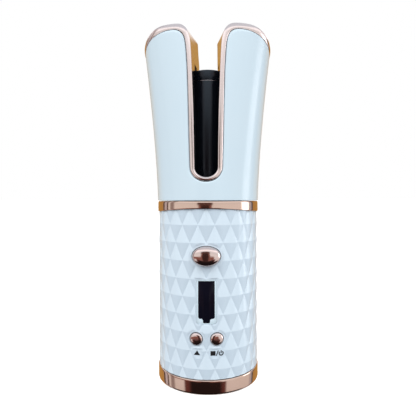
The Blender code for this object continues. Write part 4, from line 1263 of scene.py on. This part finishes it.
def pale_floor():
    mesh = bpy.data.meshes.new("floor")
    draft = bmesh.new()
    bmesh.ops.create_grid(draft, x_segments=2, y_segments=2, size=60.0)
    draft.to_mesh(mesh)
    draft.free()
    mat, tree, shader = graph("pale_floor")
    drift = noise(tree, place(tree), per_metre=3.0)
    feed(tree, shader.inputs["Base Color"],
         blend_colors(tree, drift, (0.90, 0.90, 0.90), (0.92, 0.92, 0.92)))
    for key, value in (("Roughness", 0.8), ("Specular IOR Level", 0.1),
                       ("Emission Color", (1, 1, 1, 1)), ("Emission Strength", 0.45)):
        shader.inputs[key].default_value = value
    floor = link("floor", mesh, [mat])
    floor.visible_glossy = False
    floor.visible_diffuse = False


def emitter(name, size, location, energy, color=(1, 1, 1)):
    """Area light aimed at the product and left out of reflections."""
    data = bpy.data.lights.new(name, "AREA")
    data.shape = "RECTANGLE"
    data.size, data.size_y = size
    data.energy = energy
    data.color = color
    obj = bpy.data.objects.new(name, data)
    bpy.context.scene.collection.objects.link(obj)
    obj.location = location
    aim = Vector(LIGHT_TARGET) - Vector(location)
    obj.rotation_euler = aim.to_track_quat("-Z", "Y").to_euler()
    obj.visible_glossy = False


def front_camera():
    """Level camera in front, a little to the right."""
    data = bpy.data.cameras.new("camera")
    data.lens = 35.74
    data.sensor_width = 36.0
    data.shift_y = -0.02403846
    data.shift_x = 0.0001
    data.clip_start = 0.01
    data.clip_end = 20.0
    camera = bpy.data.objects.new("camera", data)
    bpy.context.scene.collection.objects.link(camera)
    camera.location = (CAMERA_DISTANCE * math.sin(CAMERA_YAW),
                       -CAMERA_DISTANCE * math.cos(CAMERA_YAW), CAMERA_HEIGHT)
    camera.rotation_euler = (QUARTER, CAMERA_ROLL, CAMERA_YAW)
    bpy.context.scene.camera = camera


room()
pale_floor()
emitter("key_left", size=(0.8, 0.6), location=(-0.80, -0.50, 1.00), energy=6.9,
        color=(1.0, 0.995, 0.985))
emitter("key_right", size=(0.8, 0.6), location=(0.80, -0.50, 1.00), energy=6.9,
        color=(0.985, 0.995, 1.0))
emitter("back_light", size=(1.2, 0.6), location=(0.1, 0.85, 1.0), energy=5.0)
front_camera()
bpy.context.scene.view_settings.view_transform = "Standard"
bpy.context.scene.view_settings.look = "None"

bpy.context.view_layer.update()
